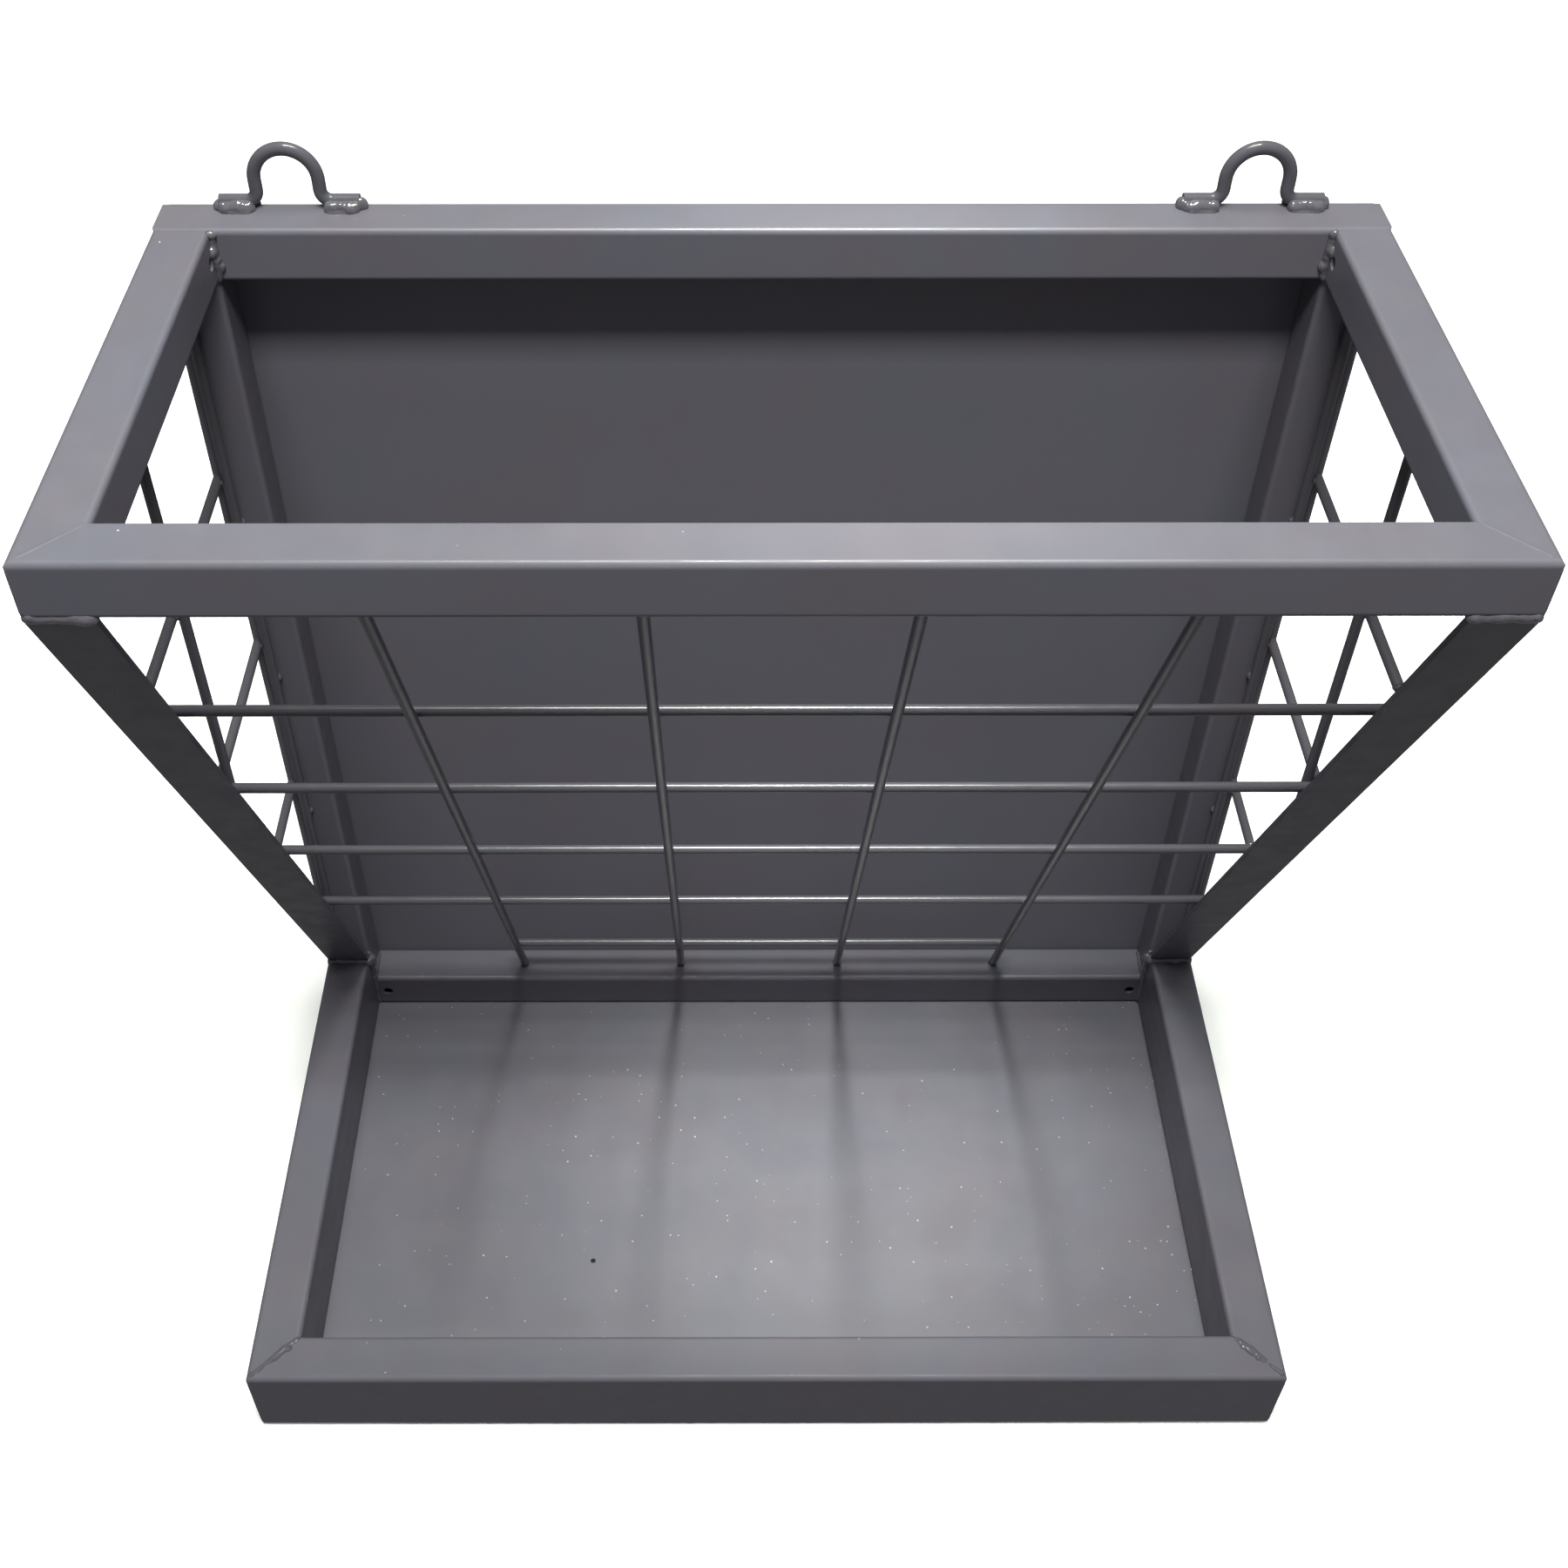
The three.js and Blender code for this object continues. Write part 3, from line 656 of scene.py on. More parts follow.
barNodes = ["front_bar_%d" % i for i in range(1, 5)]
crossNodes = ["front_crossbar_%d" % i for i in range(1, 6)]
barLines = [slopingLine(n) for n in barNodes]
crossLines = [straightLine(n, 0, weldIn, weldIn) for n in crossNodes]
growRods("frontBars", barLines, rodValues["diameter"], rodValues["step"], rodValues["bow"], 1.0,
         "rod_paint", barNodes)
growRods("frontCrossbars", crossLines, rodValues["diameter"], rodValues["step"], rodValues["bow"], 2.0,
         "rod_paint", crossNodes)
sideLines = {}
slantBack = rodRadius * angleValues["slope"]
slantUp = rodRadius / angleValues["slope"]
for sideName, side in (("left", -1), ("right", 1)):
    crosses = [sideName + "_side_crossbar_%d" % i for i in range(1, 4)]
    uprights = [sideName + "_side_bar_rear", sideName + "_side_bar_mid"]
    # an end that meets the leg is cut square, so its centre line stops where the leg's face crosses it
    crossSide = [straightLine(n, 1, -slantBack, weldIn) for n in crosses]
    barSide = [straightLine(n, 2, -slantUp, weldIn) for n in uprights]
    sideLines[sideName] = (crossSide, barSide)
    growRods(sideName + "SideRods", crossSide + barSide, rodValues["diameter"], rodValues["step"],
             rodValues["bow"] * rodValues["sideBow"], 3.0 + side, "rod_paint", crosses + uprights)

loopValues = {
    "height": 30 * mm,
    "centre": 212.6 * mm,
    "width": 34 * mm,
    "foot": 17 * mm,
    "footBend": 5 * mm,
    "setback": 4.2 * mm,
    "bendSteps": 14,
    "archShare": 0.999,       # of half the span, so that the arch's two bends just don't meet
}


# straight runs joined by rounded bends, each corner given as (point, tangent length)
def bentLine(corners, steps):
    pull = 0.5523             # with this pull a cubic curve follows a quarter circle
    closest = 0.02 * mm       # points closer than this become one
    line = [corners[0][0]]
    for i in range(1, len(corners) - 1):
        point, tangent = corners[i]
        before = (corners[i - 1][0] - point).normalized()
        after = (corners[i + 1][0] - point).normalized()
        entry, leave = point + before * tangent, point + after * tangent
        a, b = entry.lerp(point, pull), leave.lerp(point, pull)
        for k in range(steps + 1):
            t = k / steps
            s = 1 - t
            line.append(entry * s ** 3 + a * 3 * s * s * t + b * 3 * s * t * t + leave * t ** 3)
    line.append(corners[-1][0])
    clean = [line[0]]
    for p in line[1:]:
        if (p - clean[-1]).length > closest:
            clean.append(p)
    return clean


loopY = frameBack - loopValues["setback"]
footZ = frameTop + rodValues["loopDiameter"] / 2
for sideName, side in (("left", -1), ("right", 1)):
    archZ = frameTop + loopValues["height"] - rodValues["loopDiameter"] / 2
    halfSpan = (loopValues["width"] - rodValues["loopDiameter"]) / 2
    outerX = side * (loopValues["centre"] + halfSpan)
    innerX = side * (loopValues["centre"] - halfSpan)
    corners = [
        (Vector((outerX + side * loopValues["foot"], loopY, footZ)), 0),
        (Vector((outerX, loopY, footZ)), loopValues["footBend"]),
        (Vector((outerX, loopY, archZ)), halfSpan * loopValues["archShare"]),
        (Vector((innerX, loopY, archZ)), halfSpan * loopValues["archShare"]),
        (Vector((innerX, loopY, footZ)), loopValues["footBend"]),
        (Vector((innerX - side * loopValues["foot"], loopY, footZ)), 0),
    ]
    growRods(sideName + "HangingLoop", [bentLine(corners, loopValues["bendSteps"])],
             rodValues["loopDiameter"], rodValues["loopStep"], 0.0, 7.0, "rod_paint",
             [sideName + "_hanging_loop"])
print("rods and loops made")


# shakes the skin of beads or tacks with noise, then dresses whatever passes the outside faces flush
def lumpAndDress(tree, given, skin, lumps):
    centred = addNode(tree, "ShaderNodeVectorMath", {"operation": "SUBTRACT"}, {1: (0.5, 0.5, 0.5)},
                      {0: lumps.outputs["Color"]})
    offset = addNode(tree, "ShaderNodeVectorMath", {"operation": "SCALE"},
                     links={0: centred.outputs["Vector"], "Scale": given["Lump"]})
    uneven = addNode(tree, "GeometryNodeSetPosition",
                     links={"Geometry": skin, "Offset": offset.outputs["Vector"]})
    place = addNode(tree, "GeometryNodeInputPosition").outputs["Position"]
    above = addNode(tree, "ShaderNodeVectorMath", {"operation": "MAXIMUM"},
                    links={0: place, 1: given["Lowest"]})
    within = addNode(tree, "ShaderNodeVectorMath", {"operation": "MINIMUM"},
                     links={0: above.outputs["Vector"], 1: given["Highest"]})
    dressed = addNode(tree, "GeometryNodeSetPosition",
                      links={"Geometry": uneven.outputs["Geometry"], "Position": within.outputs["Vector"]})
    closeTree(tree, dressed.outputs["Geometry"], given["Material"])


beadValues = {
    "step": 0.4 * mm,
    "sides": 16,
    "ripplePitch": 2.1 * mm,
    "ripple": 0.05,
    "swell": 0.9,             # share of the radius, from thinnest to fattest
    "lump": 1.6 * mm,
    "lumpSize": 5 * mm,
    "taper": 0.1,             # share of a bead's length over which each end is rounded off
    "endPower": 0.45,
    "endLeast": 0.08,         # share of the radius left at the very end
    "handPace": 0.6,          # how fast the hand's swelling goes against the lumps
    "grain": 0.45 * mm,
    "dressing": 0.03 * mm,    # how far under the outside faces a bead is dressed
}


def beadTree():
    tree, given, identifiers = newTree("weld bead", [
        ("Step", "Float"), ("Sides", "Int"), ("Ripple Pitch", "Float"), ("Ripple", "Float"),
        ("Lump", "Float"), ("Lump Size", "Float"), ("Swell", "Float"), ("Taper", "Float"), ("Seed", "Float"),
        ("Lowest", "Vector"), ("Highest", "Vector"), ("Material", "Material")])
    curve = addNode(tree, "GeometryNodeMeshToCurve", links={"Mesh": given["Geometry"]})
    even = addNode(tree, "GeometryNodeResampleCurve", {"mode": "LENGTH"},
                   links={"Curve": curve.outputs["Curve"], "Length": given["Step"]})
    spline = addNode(tree, "GeometryNodeSplineParameter").outputs
    # each puddle freezes as a ripple, so the radius swells and dips once a pitch
    phase = addNode(tree, "ShaderNodeMath", {"operation": "DIVIDE"},
                    links={0: spline["Length"], 1: given["Ripple Pitch"]})
    turn = addNode(tree, "ShaderNodeMath", {"operation": "MULTIPLY"}, {1: math.pi},
                   {0: phase.outputs["Value"]})
    wave = addNode(tree, "ShaderNodeMath", {"operation": "SINE"}, links={0: turn.outputs["Value"]})
    crest = addNode(tree, "ShaderNodeMath", {"operation": "ABSOLUTE"}, links={0: wave.outputs["Value"]})
    ripple = addNode(tree, "ShaderNodeMath", {"operation": "MULTIPLY_ADD"}, {2: 1.0},
                     {0: crest.outputs["Value"], 1: given["Ripple"]})
    # the hand slows and hurries, so the bead swells and thins over a few puddles
    swellRate = addNode(tree, "ShaderNodeMath", {"operation": "DIVIDE"}, {0: beadValues["handPace"]},
                        {1: given["Lump Size"]})
    hand = addNode(tree, "ShaderNodeTexNoise", {"noise_dimensions": "4D"}, {"Detail": 1.0},
                   {"W": given["Seed"], "Scale": swellRate.outputs["Value"]})
    handCentred = addNode(tree, "ShaderNodeMath", {"operation": "SUBTRACT"}, {1: 0.5},
                          {0: hand.outputs["Fac"]})
    swollen = addNode(tree, "ShaderNodeMath", {"operation": "MULTIPLY_ADD"},
                      links={0: handCentred.outputs["Value"], 1: given["Swell"], 2: ripple.outputs["Value"]})
    # round off both ends
    back = addNode(tree, "ShaderNodeMath", {"operation": "SUBTRACT"}, {0: 1.0}, {1: spline["Factor"]})
    nearest = addNode(tree, "ShaderNodeMath", {"operation": "MINIMUM"},
                      links={0: spline["Factor"], 1: back.outputs["Value"]})
    ends = addNode(tree, "ShaderNodeMath", {"operation": "DIVIDE", "use_clamp": True},
                   links={0: nearest.outputs["Value"], 1: given["Taper"]})
    eased = addNode(tree, "ShaderNodeMath", {"operation": "POWER"}, {1: beadValues["endPower"]},
                    {0: ends.outputs["Value"]})
    least = addNode(tree, "ShaderNodeMath", {"operation": "MAXIMUM"}, {1: beadValues["endLeast"]},
                    {0: eased.outputs["Value"]})
    size = addNode(tree, "GeometryNodeInputNamedAttribute", {"data_type": "FLOAT"}, {"Name": "beadSize"})
    shaped = addNode(tree, "ShaderNodeMath", {"operation": "MULTIPLY"},
                     links={0: swollen.outputs["Value"], 1: least.outputs["Value"]})
    radius = addNode(tree, "ShaderNodeMath", {"operation": "MULTIPLY"},
                     links={0: shaped.outputs["Value"], 1: size.outputs["Attribute"]})
    section = addNode(tree, "GeometryNodeCurvePrimitiveCircle", values={"Radius": 1.0},
                      links={"Resolution": given["Sides"]})
    swept = addNode(tree, "GeometryNodeCurveToMesh", values={"Fill Caps": True},
                    links={"Curve": even.outputs["Curve"], "Profile Curve": section.outputs["Curve"],
                           "Scale": radius.outputs["Value"]})
    lumpRate = addNode(tree, "ShaderNodeMath", {"operation": "DIVIDE"}, {0: 1.0}, {1: given["Lump Size"]})
    lumps = addNode(tree, "ShaderNodeTexNoise", {"noise_dimensions": "4D"}, {"Detail": 2.0},
                    {"W": given["Seed"], "Scale": lumpRate.outputs["Value"]})
    lumpAndDress(tree, given, swept.outputs["Mesh"], lumps)
    return tree, identifiers


beadGrowth, beadInputs = beadTree()
groundSeam = {"ripple": 0.0, "swell": 0.03, "lump": 0.2 * mm, "grain": None, "paint": graphiteCoatTube}
dressing = Vector((1, 1, 1)) * beadValues["dressing"]
lowestWeld = Vector((-halfWidth, trayFront, 0)) + dressing
highestWeld = Vector((halfWidth, backPanelHigh.y, 1)) - dressing
meltRounds = 6                # smoothing passes once beads and blobs have run into one skin
meltPull = 0.5                # how far each pass draws a point towards its neighbours


# runs overlapping beads and blobs together into one closed, smooth skin
def melt(piece, grain):
    merge = piece.modifiers.new("merge", "REMESH")
    merge.mode = "VOXEL"
    merge.voxel_size = grain
    relax = piece.modifiers.new("relax", "SMOOTH")
    relax.factor = meltPull
    relax.iterations = meltRounds
    settle(piece)
    piece.data.materials.clear()
    piece.data.materials.append(graphiteCoatWeld)
    piece.data.shade_smooth()
    return piece


tackValues = {
    "roundness": 3,
    "lump": 1.0 * mm,
    "lumpSize": 3.5 * mm,
    "squash": 0.8,            # each direction of a tack takes a share of its size between these two
    "stretch": 1.15,
}


def tackTree():
    tree, given, identifiers = newTree("weld tacks", [
        ("Roundness", "Int"), ("Lump", "Float"), ("Lump Size", "Float"), ("Squash", "Float"), ("Seed", "Int"),
        ("Lowest", "Vector"), ("Highest", "Vector"), ("Material", "Material")])
    blob = addNode(tree, "GeometryNodeMeshIcoSphere", values={"Radius": 1.0},
                   links={"Subdivisions": given["Roundness"]})
    size = addNode(tree, "GeometryNodeInputNamedAttribute", {"data_type": "FLOAT"}, {"Name": "tackSize"})
    spin = addNode(tree, "FunctionNodeRandomValue", {"data_type": "FLOAT_VECTOR"},
                   {"Min": (0, 0, 0), "Max": (math.tau, math.tau, math.tau)}, {"Seed": given["Seed"]})
    shape = addNode(tree, "FunctionNodeRandomValue", {"data_type": "FLOAT_VECTOR"},
                    {"Max": (tackValues["stretch"],) * 3}, {"Min": given["Squash"], "Seed": given["Seed"]})
    scale = addNode(tree, "ShaderNodeVectorMath", {"operation": "SCALE"},
                    links={0: shape.outputs["Value"], "Scale": size.outputs["Attribute"]})
    placed = addNode(tree, "GeometryNodeInstanceOnPoints",
                     links={"Points": given["Geometry"], "Instance": blob.outputs["Mesh"],
                            "Rotation": spin.outputs["Value"], "Scale": scale.outputs["Vector"]})
    real = addNode(tree, "GeometryNodeRealizeInstances", links={"Geometry": placed.outputs["Instances"]})
    rate = addNode(tree, "ShaderNodeMath", {"operation": "DIVIDE"}, {0: 1.0}, {1: given["Lump Size"]})
    lumps = addNode(tree, "ShaderNodeTexNoise", {"noise_dimensions": "3D"}, {"Detail": 1.0},
                    {"Scale": rate.outputs["Value"]})
    lumpAndDress(tree, given, real.outputs["Geometry"], lumps)
    return tree, identifiers


tackGrowth, tackInputs = tackTree()


def growBlobs(name, tacks, seed):
    places, sizes = zip(*tacks)
    return growPiece(name, places, [], {"tackSize": sizes}, tackGrowth, tackInputs, {
        "Roundness": tackValues["roundness"], "Lump": tackValues["lump"], "Lump Size": tackValues["lumpSize"],
        "Squash": tackValues["squash"], "Seed": seed, "Lowest": lowestWeld, "Highest": highestWeld,
        "Material": graphiteCoatWeld})


def growTacks(name, tacks, seed):
    piece = growBlobs(name, tacks, seed)
    smoothByAngle(piece.data, sharpDegrees["weld"])
    return finishPiece(piece, "rod_paint")


# beads are given as (radius, point, point, ...)
def growBeads(name, beads, seed, slotName="tube_paint", changes=None, blobs=()):
    look = {**beadValues, **(changes or {})}
    points, edges = joinLines(line for _, *line in beads)
    sizes = [size for size, *line in beads for _ in line]
    paint = look.get("paint", graphiteCoatWeld)
    piece = growPiece(name, points, edges, {"beadSize": sizes}, beadGrowth, beadInputs, {
        "Step": look["step"], "Sides": look["sides"], "Ripple Pitch": look["ripplePitch"],
        "Ripple": look["ripple"], "Lump": look["lump"], "Lump Size": look["lumpSize"], "Swell": look["swell"],
        "Taper": look["taper"], "Seed": seed, "Lowest": lowestWeld, "Highest": highestWeld,
        "Material": paint})
    if blobs:
        extra = growBlobs(name + "Blobs", blobs, int(seed * 10))
        both = bmesh.new()
        both.from_mesh(piece.data)
        both.from_mesh(extra.data)
        both.to_mesh(piece.data)
        both.free()
        bpy.data.objects.remove(extra)
    if look.get("grain"):
        melt(piece, look["grain"])
    else:
        smoothByAngle(piece.data, sharpDegrees["weld"])
    return finishPiece(piece, slotName)


# a point close to where three edges meet, moved outwards, back and up by small steps in millimetres
def near(outwards, x, y, z, out, back=0, up=0):
    return Vector((x + outwards * out * mm, y + back * mm, z + up * mm))


weldValues = {
    "fillet": 2.3 * mm,        # bead in an inside corner
    "fine": 1.5 * mm,
    "foot": 3.0 * mm,          # the broad bead on a loop's foot
    "flush": 3.1 * mm,         # ground seam on a flat face, sunk until only a low crown shows
    "flushSink": 2.93 * mm,
    "proud": 2.7 * mm,         # seam left as welded
    "proudSink": 1.9 * mm,
    "corner": 1.35 * mm,       # fills the weld prep on a mitre's corner
    "cornerSink": 1.27 * mm,
    "tack": 2.2 * mm,
    "nugget": 1.5 * mm,
    "stitch": 1.3 * mm,
    "stitchLength": 16 * mm,
    "stitchGap": 74 * mm,
}
fillet, fine, footBead = weldValues["fillet"], weldValues["fine"], weldValues["foot"]
flush, flushSink = weldValues["flush"], weldValues["flushSink"]
proud, proudSink = weldValues["proud"], weldValues["proudSink"]
cornerBead, cornerSink = weldValues["corner"], weldValues["cornerSink"]
tackSize, nuggetSize = weldValues["tack"], weldValues["nugget"]
stitchBead, stitchLength = weldValues["stitch"], weldValues["stitchLength"]
stitchGap = weldValues["stitchGap"]
legFootY = topFront + angleValues["slope"] * (railUnder - trayTop)
seamBeads, topBeads, legBeads, trayBeads, backBeads, loopBeads = [], [], [], [], [], []
topBlobs, legBlobs, trayBlobs, loopBlobs = [], [], [], []
for side in (-1, 1):
    outer, inner = side * halfWidth, side * innerHalf
    edge = outer - side * cornerSink
    toe = side * (halfWidth - flangeWidth)
    # front mitres of the top frame, ground nearly flush
    seamBeads += [
        (flush, Vector((edge, topFront + cornerSink, frameTop - flushSink)),
         Vector((inner, topFront + tubeSize, frameTop - flushSink))),
        (flush, Vector((edge, topFront + cornerSink, railUnder + flushSink)),
         Vector((inner, topFront + tubeSize, railUnder + flushSink))),
        (cornerBead, near(side, edge, topFront + cornerSink, railUnder, 0, 0, 0.8),
         near(side, edge, topFront + cornerSink, frameTop, 0, 0, -1.6)),
        (cornerBead, near(side, edge, trayFront + cornerSink, frameBottom, 0, 0, 0.6),
         near(side, edge, trayFront + cornerSink, trayTop, 0, 0, -2.2)),
        (cornerBead, near(side, edge, uprightFront, frameTop - cornerSink, 0, 2),
         near(side, edge, frameBack, frameTop - cornerSink, 0, -1)),
    ]
    # rear corners of the top frame, where the side rails butt on the back rail
    topBeads += [
        (fine, near(side, inner, topFront + tubeSize, railUnder, 0.2, -0.2, 1),
         near(side, inner, topFront + tubeSize, frameTop, 0.2, -0.2, -1)),
        (fillet * 1.2, near(side, inner, uprightFront, railUnder, 0.5, 0.6),
         near(side, inner, uprightFront, railUnder + tubeSize * 0.45, -0.2, -0.4),
         near(side, inner, uprightFront, frameTop, 0.4, 0.4, -1.9)),
        (fine, near(side, outer, uprightFront, railUnder, -1.2),
         near(side, outer, uprightFront, frameTop, -1.2, 0, -1.45)),
        (fillet, near(side, outer, uprightFront, railUnder, -2, 0.2, 0.2),
         near(side, inner, uprightFront, railUnder, 2, 0.2, 0.2)),
    ]
    # legs, round the top and round the foot
    legBeads += [
        (fillet * 1.1, near(side, outer, topFront + tubeSize * 0.6, railUnder, -1.6, 0, -0.3),
         near(side, outer, topFront, railUnder, -1.6, 2.2, -0.4),
         near(side, toe, topFront, railUnder, 0.5, 1.6, -0.4),
         near(side, toe, topFront, railUnder, 0, 4.5)),
        (fillet * 1.2, near(side, outer, uprightFront, trayTop, -1.4, -3),
         near(side, outer, legFootY, trayTop, -1.4, -0.6, 0.2),
         near(side, toe, legFootY, trayTop, 0.2, -0.9, 0.2),
         near(side, toe, uprightFront, trayTop, 0, -0.5)),
    ]
    legBlobs += [(near(side, outer, topFront, railUnder, -2.6, 1.2, 0.3), 2.3 * mm),
                 (near(side, outer, legFootY, trayTop, -4, -1.6, 0.5), 2.5 * mm),
                 (near(side, outer, legFootY, trayTop, -11, -1.9, 0.6), 2.8 * mm),
                 (near(side, outer, legFootY, trayTop, -17, -1.5, 0.5), 2.4 * mm),
                 (near(side, toe, legFootY, trayTop, -1.5, 1.6, 0.4), 2.7 * mm)]
    topBlobs += [(near(side, inner, uprightFront, frameTop, -0.4, -0.8, -2.0), 2.6 * mm),
                 (near(side, inner, uprightFront, railUnder + tubeSize * 0.62, 0.6, -2.2), 2.7 * mm),
                 (near(side, inner, uprightFront, railUnder + tubeSize * 0.3, -1.6, 0.2), 2.8 * mm)]
    # tray: front mitres left proud, with a thin bead out to the corner, and butts on the uprights
    trayBeads += [
        (proud, near(side, outer, trayFront, trayTop - proudSink, -8, 8),
         near(side, outer, trayFront, trayTop - proudSink, -16, 16, 0.3),
         near(side, inner, trayFront + tubeSize, trayTop - proudSink, 0, 0, -0.6)),
        (fine, near(side, outer, trayFront, trayTop, -1.6, 1.6, -0.9),
         near(side, outer, trayFront, trayTop, -9, 9, -0.8)),
        (fine, near(side, inner, trayFront + tubeSize, frameBottom, 0.2, -0.2),
         near(side, inner, trayFront + tubeSize, trayTop, 0.2, -0.2, -1)),
        (fillet, near(side, outer, uprightFront, trayTop, -1, -0.3),
         near(side, inner, uprightFront, trayTop, 0, -0.3),
         near(side, inner, uprightFront, bottomRailTop, 0, -0.3)),
        (fine, near(side, outer, uprightFront, frameBottom, -1.2, 0, 3),
         near(side, outer, uprightFront, trayTop, -1.2)),
    ]
    trayBlobs += [(near(side, outer, trayFront, trayTop, -3.2, 3.6, -1.1), 2.1 * mm),
                  (near(side, outer, trayFront, trayTop, -13, 12, -1.0), 2.4 * mm),
                  (near(side, outer, trayFront, trayTop, -20, 18, -1.2), 2.5 * mm)]
    # back frame: bottom rail ends
    backBeads += [
        (fine * 1.15, near(side, inner, uprightFront, frameBottom, 0, -0.2, 2),
         near(side, inner, uprightFront, bottomRailTop, 0, 0, -1),
         near(side, inner, uprightFront, bottomRailTop, 0, 1.5),
         near(side, inner, frameBack, bottomRailTop, 0, -2)),
    ]
    # loops: a broad bead along the front of each foot, a thin one behind, and blobs at its ends
    loopFront = loopY - rodValues["loopDiameter"] / 2 + 0.2 * mm
    halfSpan = (loopValues["width"] - rodValues["loopDiameter"]) / 2
    outerFoot = side * (loopValues["centre"] + halfSpan)
    innerFoot = side * (loopValues["centre"] - halfSpan)
    for start, end, way in (
            (outerFoot - side * 0.5 * mm, outerFoot + side * (loopValues["foot"] + 0.6 * mm), side),
            (innerFoot + side * 0.5 * mm, innerFoot - side * (loopValues["foot"] + 0.6 * mm), -side)):
        loopBeads.append((footBead, near(way, start, loopFront, frameTop, 1.5, -0.2, 1.0),
                          near(way, start, loopFront, frameTop, 9, -0.4, 1.4),
                          near(side, end, loopFront, frameTop, 0, -0.2, 0.9)))
        loopBeads.append((fine, near(way, start, loopFront, frameTop, 3, -2.6, -0.3),
                          near(way, end, loopFront, frameTop, -2, -2.4, -0.3)))
        loopBeads.append((fine, near(side, start, loopY, frameTop, 0, 3, 0.2),
                          near(side, end, loopY, frameTop, 0, 3, 0.2)))
        loopBlobs += [(near(way, end, loopY, frameTop, -0.6, -0.8, 1.4), 3.2 * mm),
                      (near(way, end, loopFront, frameTop, -4.5, -0.9, 0.9), 3.1 * mm),
                      (near(way, start, loopFront, frameTop, 5.0, -0.6, 0.8), 3.0 * mm)]
growBeads("groundSeamWelds", seamBeads, 2.2, changes=groundSeam)
growBeads("topFrameWelds", topBeads, 1.3, blobs=topBlobs)
growBeads("legWelds", legBeads, 4.7, blobs=legBlobs)
growBeads("trayWelds", trayBeads, 9.1, blobs=trayBlobs)
growBeads("backFrameWelds", backBeads, 12.9)
loopSeam = {"grain": 0.35 * mm}    # thinner beads, so a finer skin
growBeads("loopWelds", loopBeads, 17.3, "rod_paint", loopSeam, loopBlobs)


# short beads with gaps between them, along a line
def stitches(start, end):
    length = (end - start).length
    pitch = stitchLength + stitchGap
    count = max(2, round(length / pitch))
    direction = (end - start).normalized()
    beads = []
    for i in range(count):
        middle = start + direction * (length * (i + 0.5) / count)
        half = direction * stitchLength / 2
        beads.append((stitchBead, middle - half, middle + half))
    return beads


sheetBeads = []
rearY = backPanelHigh.y - 0.9 * mm
underZ = trayPanelLow.z + 1.5 * mm
stitchTop = backPanelHigh.z - 30 * mm      # the rows of stitches end short of the corners
stitchFront = trayPanelLow.y + 40 * mm
for x in (backPanelLow.x, backPanelHigh.x):
    sheetBeads += stitches(Vector((x, rearY, backPanelLow.z)), Vector((x, rearY, stitchTop)))
    sheetBeads += stitches(Vector((x, stitchFront, underZ)), Vector((x, uprightFront, underZ)))
sheetBeads += stitches(Vector((backPanelLow.x, rearY, backPanelLow.z)),
                       Vector((backPanelHigh.x, rearY, backPanelLow.z)))
growBeads("sheetStitchWelds", sheetBeads, 21.1, "sheet_paint")

# rods: a tack at each end and a small nugget where two cross. Each tack's place is moved from the end of
# its rod by a small step in millimetres
tackSteps = {
    "barHead": 1.5,
    "barHeadBack": 1.6,
    "barFoot": 1.8,
    "crossEnd": 1.2,
    "sideCrossRear": 1.4,
    "sideCrossIn": 0.8,
    "sideCrossFront": 0.6,
    "sideBarFoot": 1.5,
    "sideBarHead": 1.6,
    "uprightOut": -1.8,
    "uprightBack": -1.2,
}
tacks = []
barFoot, barHead = barLines[0]
barLean = (barHead.y - barFoot.y) / (barHead.z - barFoot.z)
for foot, head in barLines:
    upwards = (head - foot).normalized()
    tacks += [(head - upwards * tackSteps["barHead"] * mm + yAxis * tackSteps["barHeadBack"] * mm, tackSize),
              (foot + upwards * tackSteps["barFoot"] * mm, tackSize * 1.25)]
    for start, end in crossLines:
        z = (start.z + end.z) / 2
        y = foot.y + barLean * (z - foot.z)
        tacks.append((Vector((foot.x, (y + start.y) / 2, z)), nuggetSize))
for start, end in crossLines:
    inwards = xAxis * tackSteps["crossEnd"] * mm
    tacks += [(start + inwards, tackSize), (end - inwards, tackSize)]
for sideName, (crossSide, barSide) in sideLines.items():
    side = -1 if sideName == "left" else 1
    for start, end in crossSide:
        inwards = side * xAxis * tackSteps["sideCrossIn"] * mm
        tacks += [(start + yAxis * tackSteps["sideCrossFront"] * mm, tackSize * 1.1),
                  (end - yAxis * tackSteps["sideCrossRear"] * mm - inwards, tackSize)]
        for low, high in barSide:
            if low.z < start.z and start.y < low.y:
                tacks.append((Vector(((low.x + start.x) / 2, low.y, start.z)), nuggetSize))
    for low, high in barSide:
        tacks += [(low + zAxis * tackSteps["sideBarFoot"] * mm, tackSize * 1.15),
                  (high - zAxis * tackSteps["sideBarHead"] * mm, tackSize)]
    rear = barSide[0][0] if barSide[0][0].y > barSide[1][0].y else barSide[1][0]
    # the rear bar is tacked to the upright on its way up
    for share in (0.28, 0.5, 0.72):
        tacks.append((near(side, rear.x, uprightFront, trayTop + (railUnder - trayTop) * share,
                           tackSteps["uprightOut"], tackSteps["uprightBack"]), tackSize * 0.95))
growTacks("rodTackWelds", tacks, 5)
print("welds made:", len(tacks), "tacks")

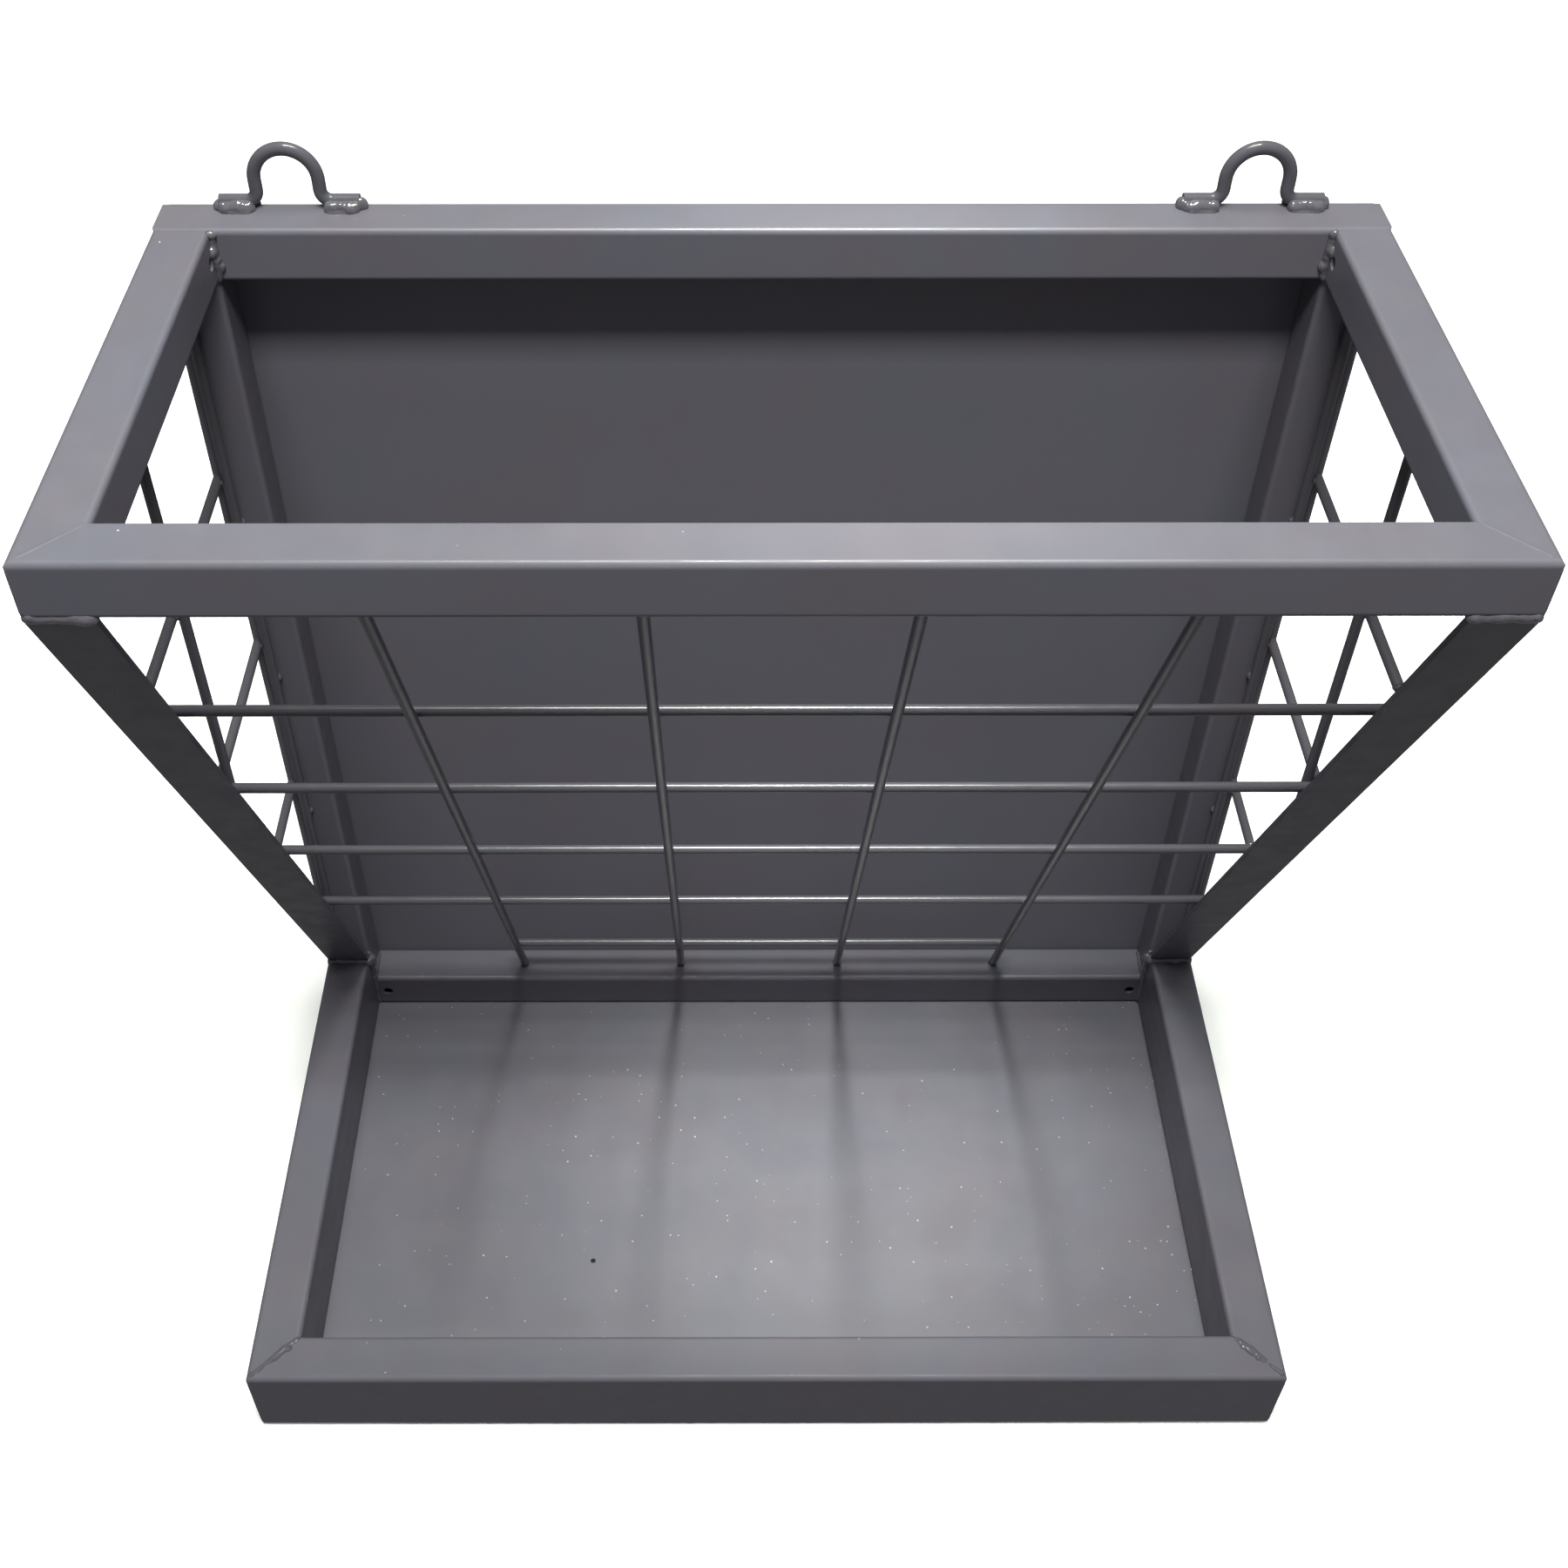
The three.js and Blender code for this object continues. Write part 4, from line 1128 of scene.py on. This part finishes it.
stageValues = {
    "floorColour": "#F4F4F4",
    "floorGlow": 0.5,         # keeps the far floor as pale as the near floor
    "paintedShadeFrom": 0.125,       # painted shade: under the tray the floor is painted dark, so its drain hole reads as a hole
    "paintedShadeTo": 0.15,
    "glowFrom": 0.14,
    "glowTo": 0.5,
    "paintedShadeLevel": 0.02,
    "floorRoughness": 0.95,
    "floorDrop": 0.0005,      # just clear of the tray panel
    "floorRadius": 4.0,
    "bend": 2.5,              # radius of the bend up into the wall
    "bendSteps": 12,
    "wallTop": 9.0,
    "turns": 96,
    "lampColour": "#FAFFF5",  # a trace of the green of tube light
    "worldColour": "#FFFFFF",
    "worldStrength": 0.175,
}
# floor and wall in one: a flat round floor that bends up all round
profile = [(0.0, 0.0), (stageValues["floorRadius"], 0.0)]
for step in range(1, stageValues["bendSteps"] + 1):
    angle = step / stageValues["bendSteps"] * math.pi / 2
    profile.append((stageValues["floorRadius"] + stageValues["bend"] * math.sin(angle),
                    stageValues["bend"] * (1 - math.cos(angle))))
profile.append((stageValues["floorRadius"] + stageValues["bend"], stageValues["wallTop"]))
build = bmesh.new()
centre = build.verts.new((0, 0, 0))
rings = []
for radius, height in profile[1:]:
    rings.append([build.verts.new((radius * math.cos(math.tau * k / stageValues["turns"]),
                                   radius * math.sin(math.tau * k / stageValues["turns"]), height))
                  for k in range(stageValues["turns"])])
for k in range(stageValues["turns"]):
    nextK = (k + 1) % stageValues["turns"]
    build.faces.new((centre, rings[0][k], rings[0][nextK]))
    for lower, upper in zip(rings, rings[1:]):
        build.faces.new((lower[k], upper[k], upper[nextK], lower[nextK]))
floorMesh = meshFrom(build, "studioFloor")
floorMesh.shade_smooth()
floorPaint = bpy.data.materials.new("matt_studio_paint")
floorPaint.use_nodes = True
floorShader = floorPaint.node_tree.nodes["Principled BSDF"]
floorShader.inputs["Roughness"].default_value = stageValues["floorRoughness"]
floorShader.inputs["Emission Color"].default_value = linearColour(stageValues["floorColour"])
floorTree = floorPaint.node_tree
fromCentre = addNode(floorTree, "ShaderNodeVectorMath", {"operation": "LENGTH"},
                     links={0: addNode(floorTree, "ShaderNodeTexCoord").outputs["Object"]})
glow = addNode(floorTree, "ShaderNodeMapRange", {"interpolation_type": "SMOOTHSTEP"},
               {"From Min": stageValues["glowFrom"], "From Max": stageValues["glowTo"],
                "To Max": stageValues["floorGlow"]}, {"Value": fromCentre.outputs["Value"]})
floorTree.links.new(glow.outputs["Result"], floorShader.inputs["Emission Strength"])
# painted shade: the floor's colour is darkened under the tray
paintedShadeUnderTray = addNode(floorTree, "ShaderNodeMapRange", {"clamp": True},
                  {"From Min": stageValues["paintedShadeFrom"], "From Max": stageValues["paintedShadeTo"],
                   "To Min": stageValues["paintedShadeLevel"]},
                  {"Value": fromCentre.outputs["Value"]})
shade = addNode(floorTree, "ShaderNodeVectorMath", {"operation": "SCALE"},
                {0: linearColour(stageValues["floorColour"])[:3]}, {"Scale": paintedShadeUnderTray.outputs["Result"]})
floorTree.links.new(shade.outputs["Vector"], floorShader.inputs["Base Color"])
floorMesh.materials.append(floorPaint)
floor = newObject("studioFloor", floorMesh)
floor.location.z = -stageValues["floorDrop"]
# the object sees its lamps and the sky, not the bright floor
floor.visible_diffuse = False
floor.visible_glossy = False
floor.visible_shadow = False

world = bpy.data.worlds.new("studio")
bpy.context.scene.world = world
world.use_nodes = True
background = world.node_tree.nodes["Background"]
background.inputs["Color"].default_value = linearColour(stageValues["worldColour"])
background.inputs["Strength"].default_value = stageValues["worldStrength"]


def softBox(name, place, target, size, power):
    light = bpy.data.lights.new(name, "AREA")
    light.shape = "RECTANGLE"
    light.size, light.size_y = size
    light.energy = power
    light.color = linearColour(stageValues["lampColour"])[:3]
    lamp = newObject(name, light)
    lamp.location = place
    lamp.rotation_euler = (Vector(target) - Vector(place)).to_track_quat("-Z", "Y").to_euler()
    return lamp


# place, target, size, watts, and whether it lights matt surfaces or shows in glossy ones
lamps = {
    "keyLight": ((0.0, -0.62, 2.0), (0, 0, 0.3), (0.9, 0.25), 48, True, False),
    "ceilingLight": ((0.0, 0.10, 2.0), (0, 0, 0.3), (0.16, 0.8), 26, True, False),
    "tubeGlint": ((0.0, 0.10, 2.0), (0, 0, 0.3), (0.6, 0.14), 27, False, True),
    "rearGlow": ((0.0, 1.1, 1.75), (0, 0, 0.4), (0.7, 0.5), 1.2, False, True),
    "rearFill": ((0.0, 2.4, 0.9), (0, 0.15, 0.3), (1.2, 0.8), 26, True, False),
}
for lampName, (place, target, size, power, matt, glossy) in lamps.items():
    lamp = softBox(lampName, place, target, size, power)
    lamp.visible_diffuse = matt
    lamp.visible_glossy = glossy

# a narrow pool of light down through the mouth of the basket, from a row of spots that runs front to
# back, so that the crossbars' shadows melt away and those of the upright bars just show
poolValues = {
    "spots": 5,
    "first": (0.045, -0.06, 2.0),
    "last": (0.045, 0.24, 2.0),
    "target": (0.045, 0.015, 0.0),
    "beamDegrees": 12.5,
    "bulb": 0.07,
    "power": 38,
}
pool = bpy.data.lights.new("poolLight", "SPOT")
pool.energy = poolValues["power"]
pool.color = linearColour(stageValues["lampColour"])[:3]
pool.spot_size = math.radians(poolValues["beamDegrees"])
pool.spot_blend = 1.0
pool.shadow_soft_size = poolValues["bulb"]
for k in range(poolValues["spots"]):
    poolLamp = newObject(f"poolLight{k + 1}", pool)
    share = k / (poolValues["spots"] - 1)
    poolLamp.location = Vector(poolValues["first"]).lerp(Vector(poolValues["last"]), share)
    poolLamp.rotation_euler = (
        Vector(poolValues["target"]) - poolLamp.location).to_track_quat("-Z", "Y").to_euler()
bpy.context.scene.view_settings.view_transform = "Standard"
print("stage set")

bpy.context.view_layer.update()
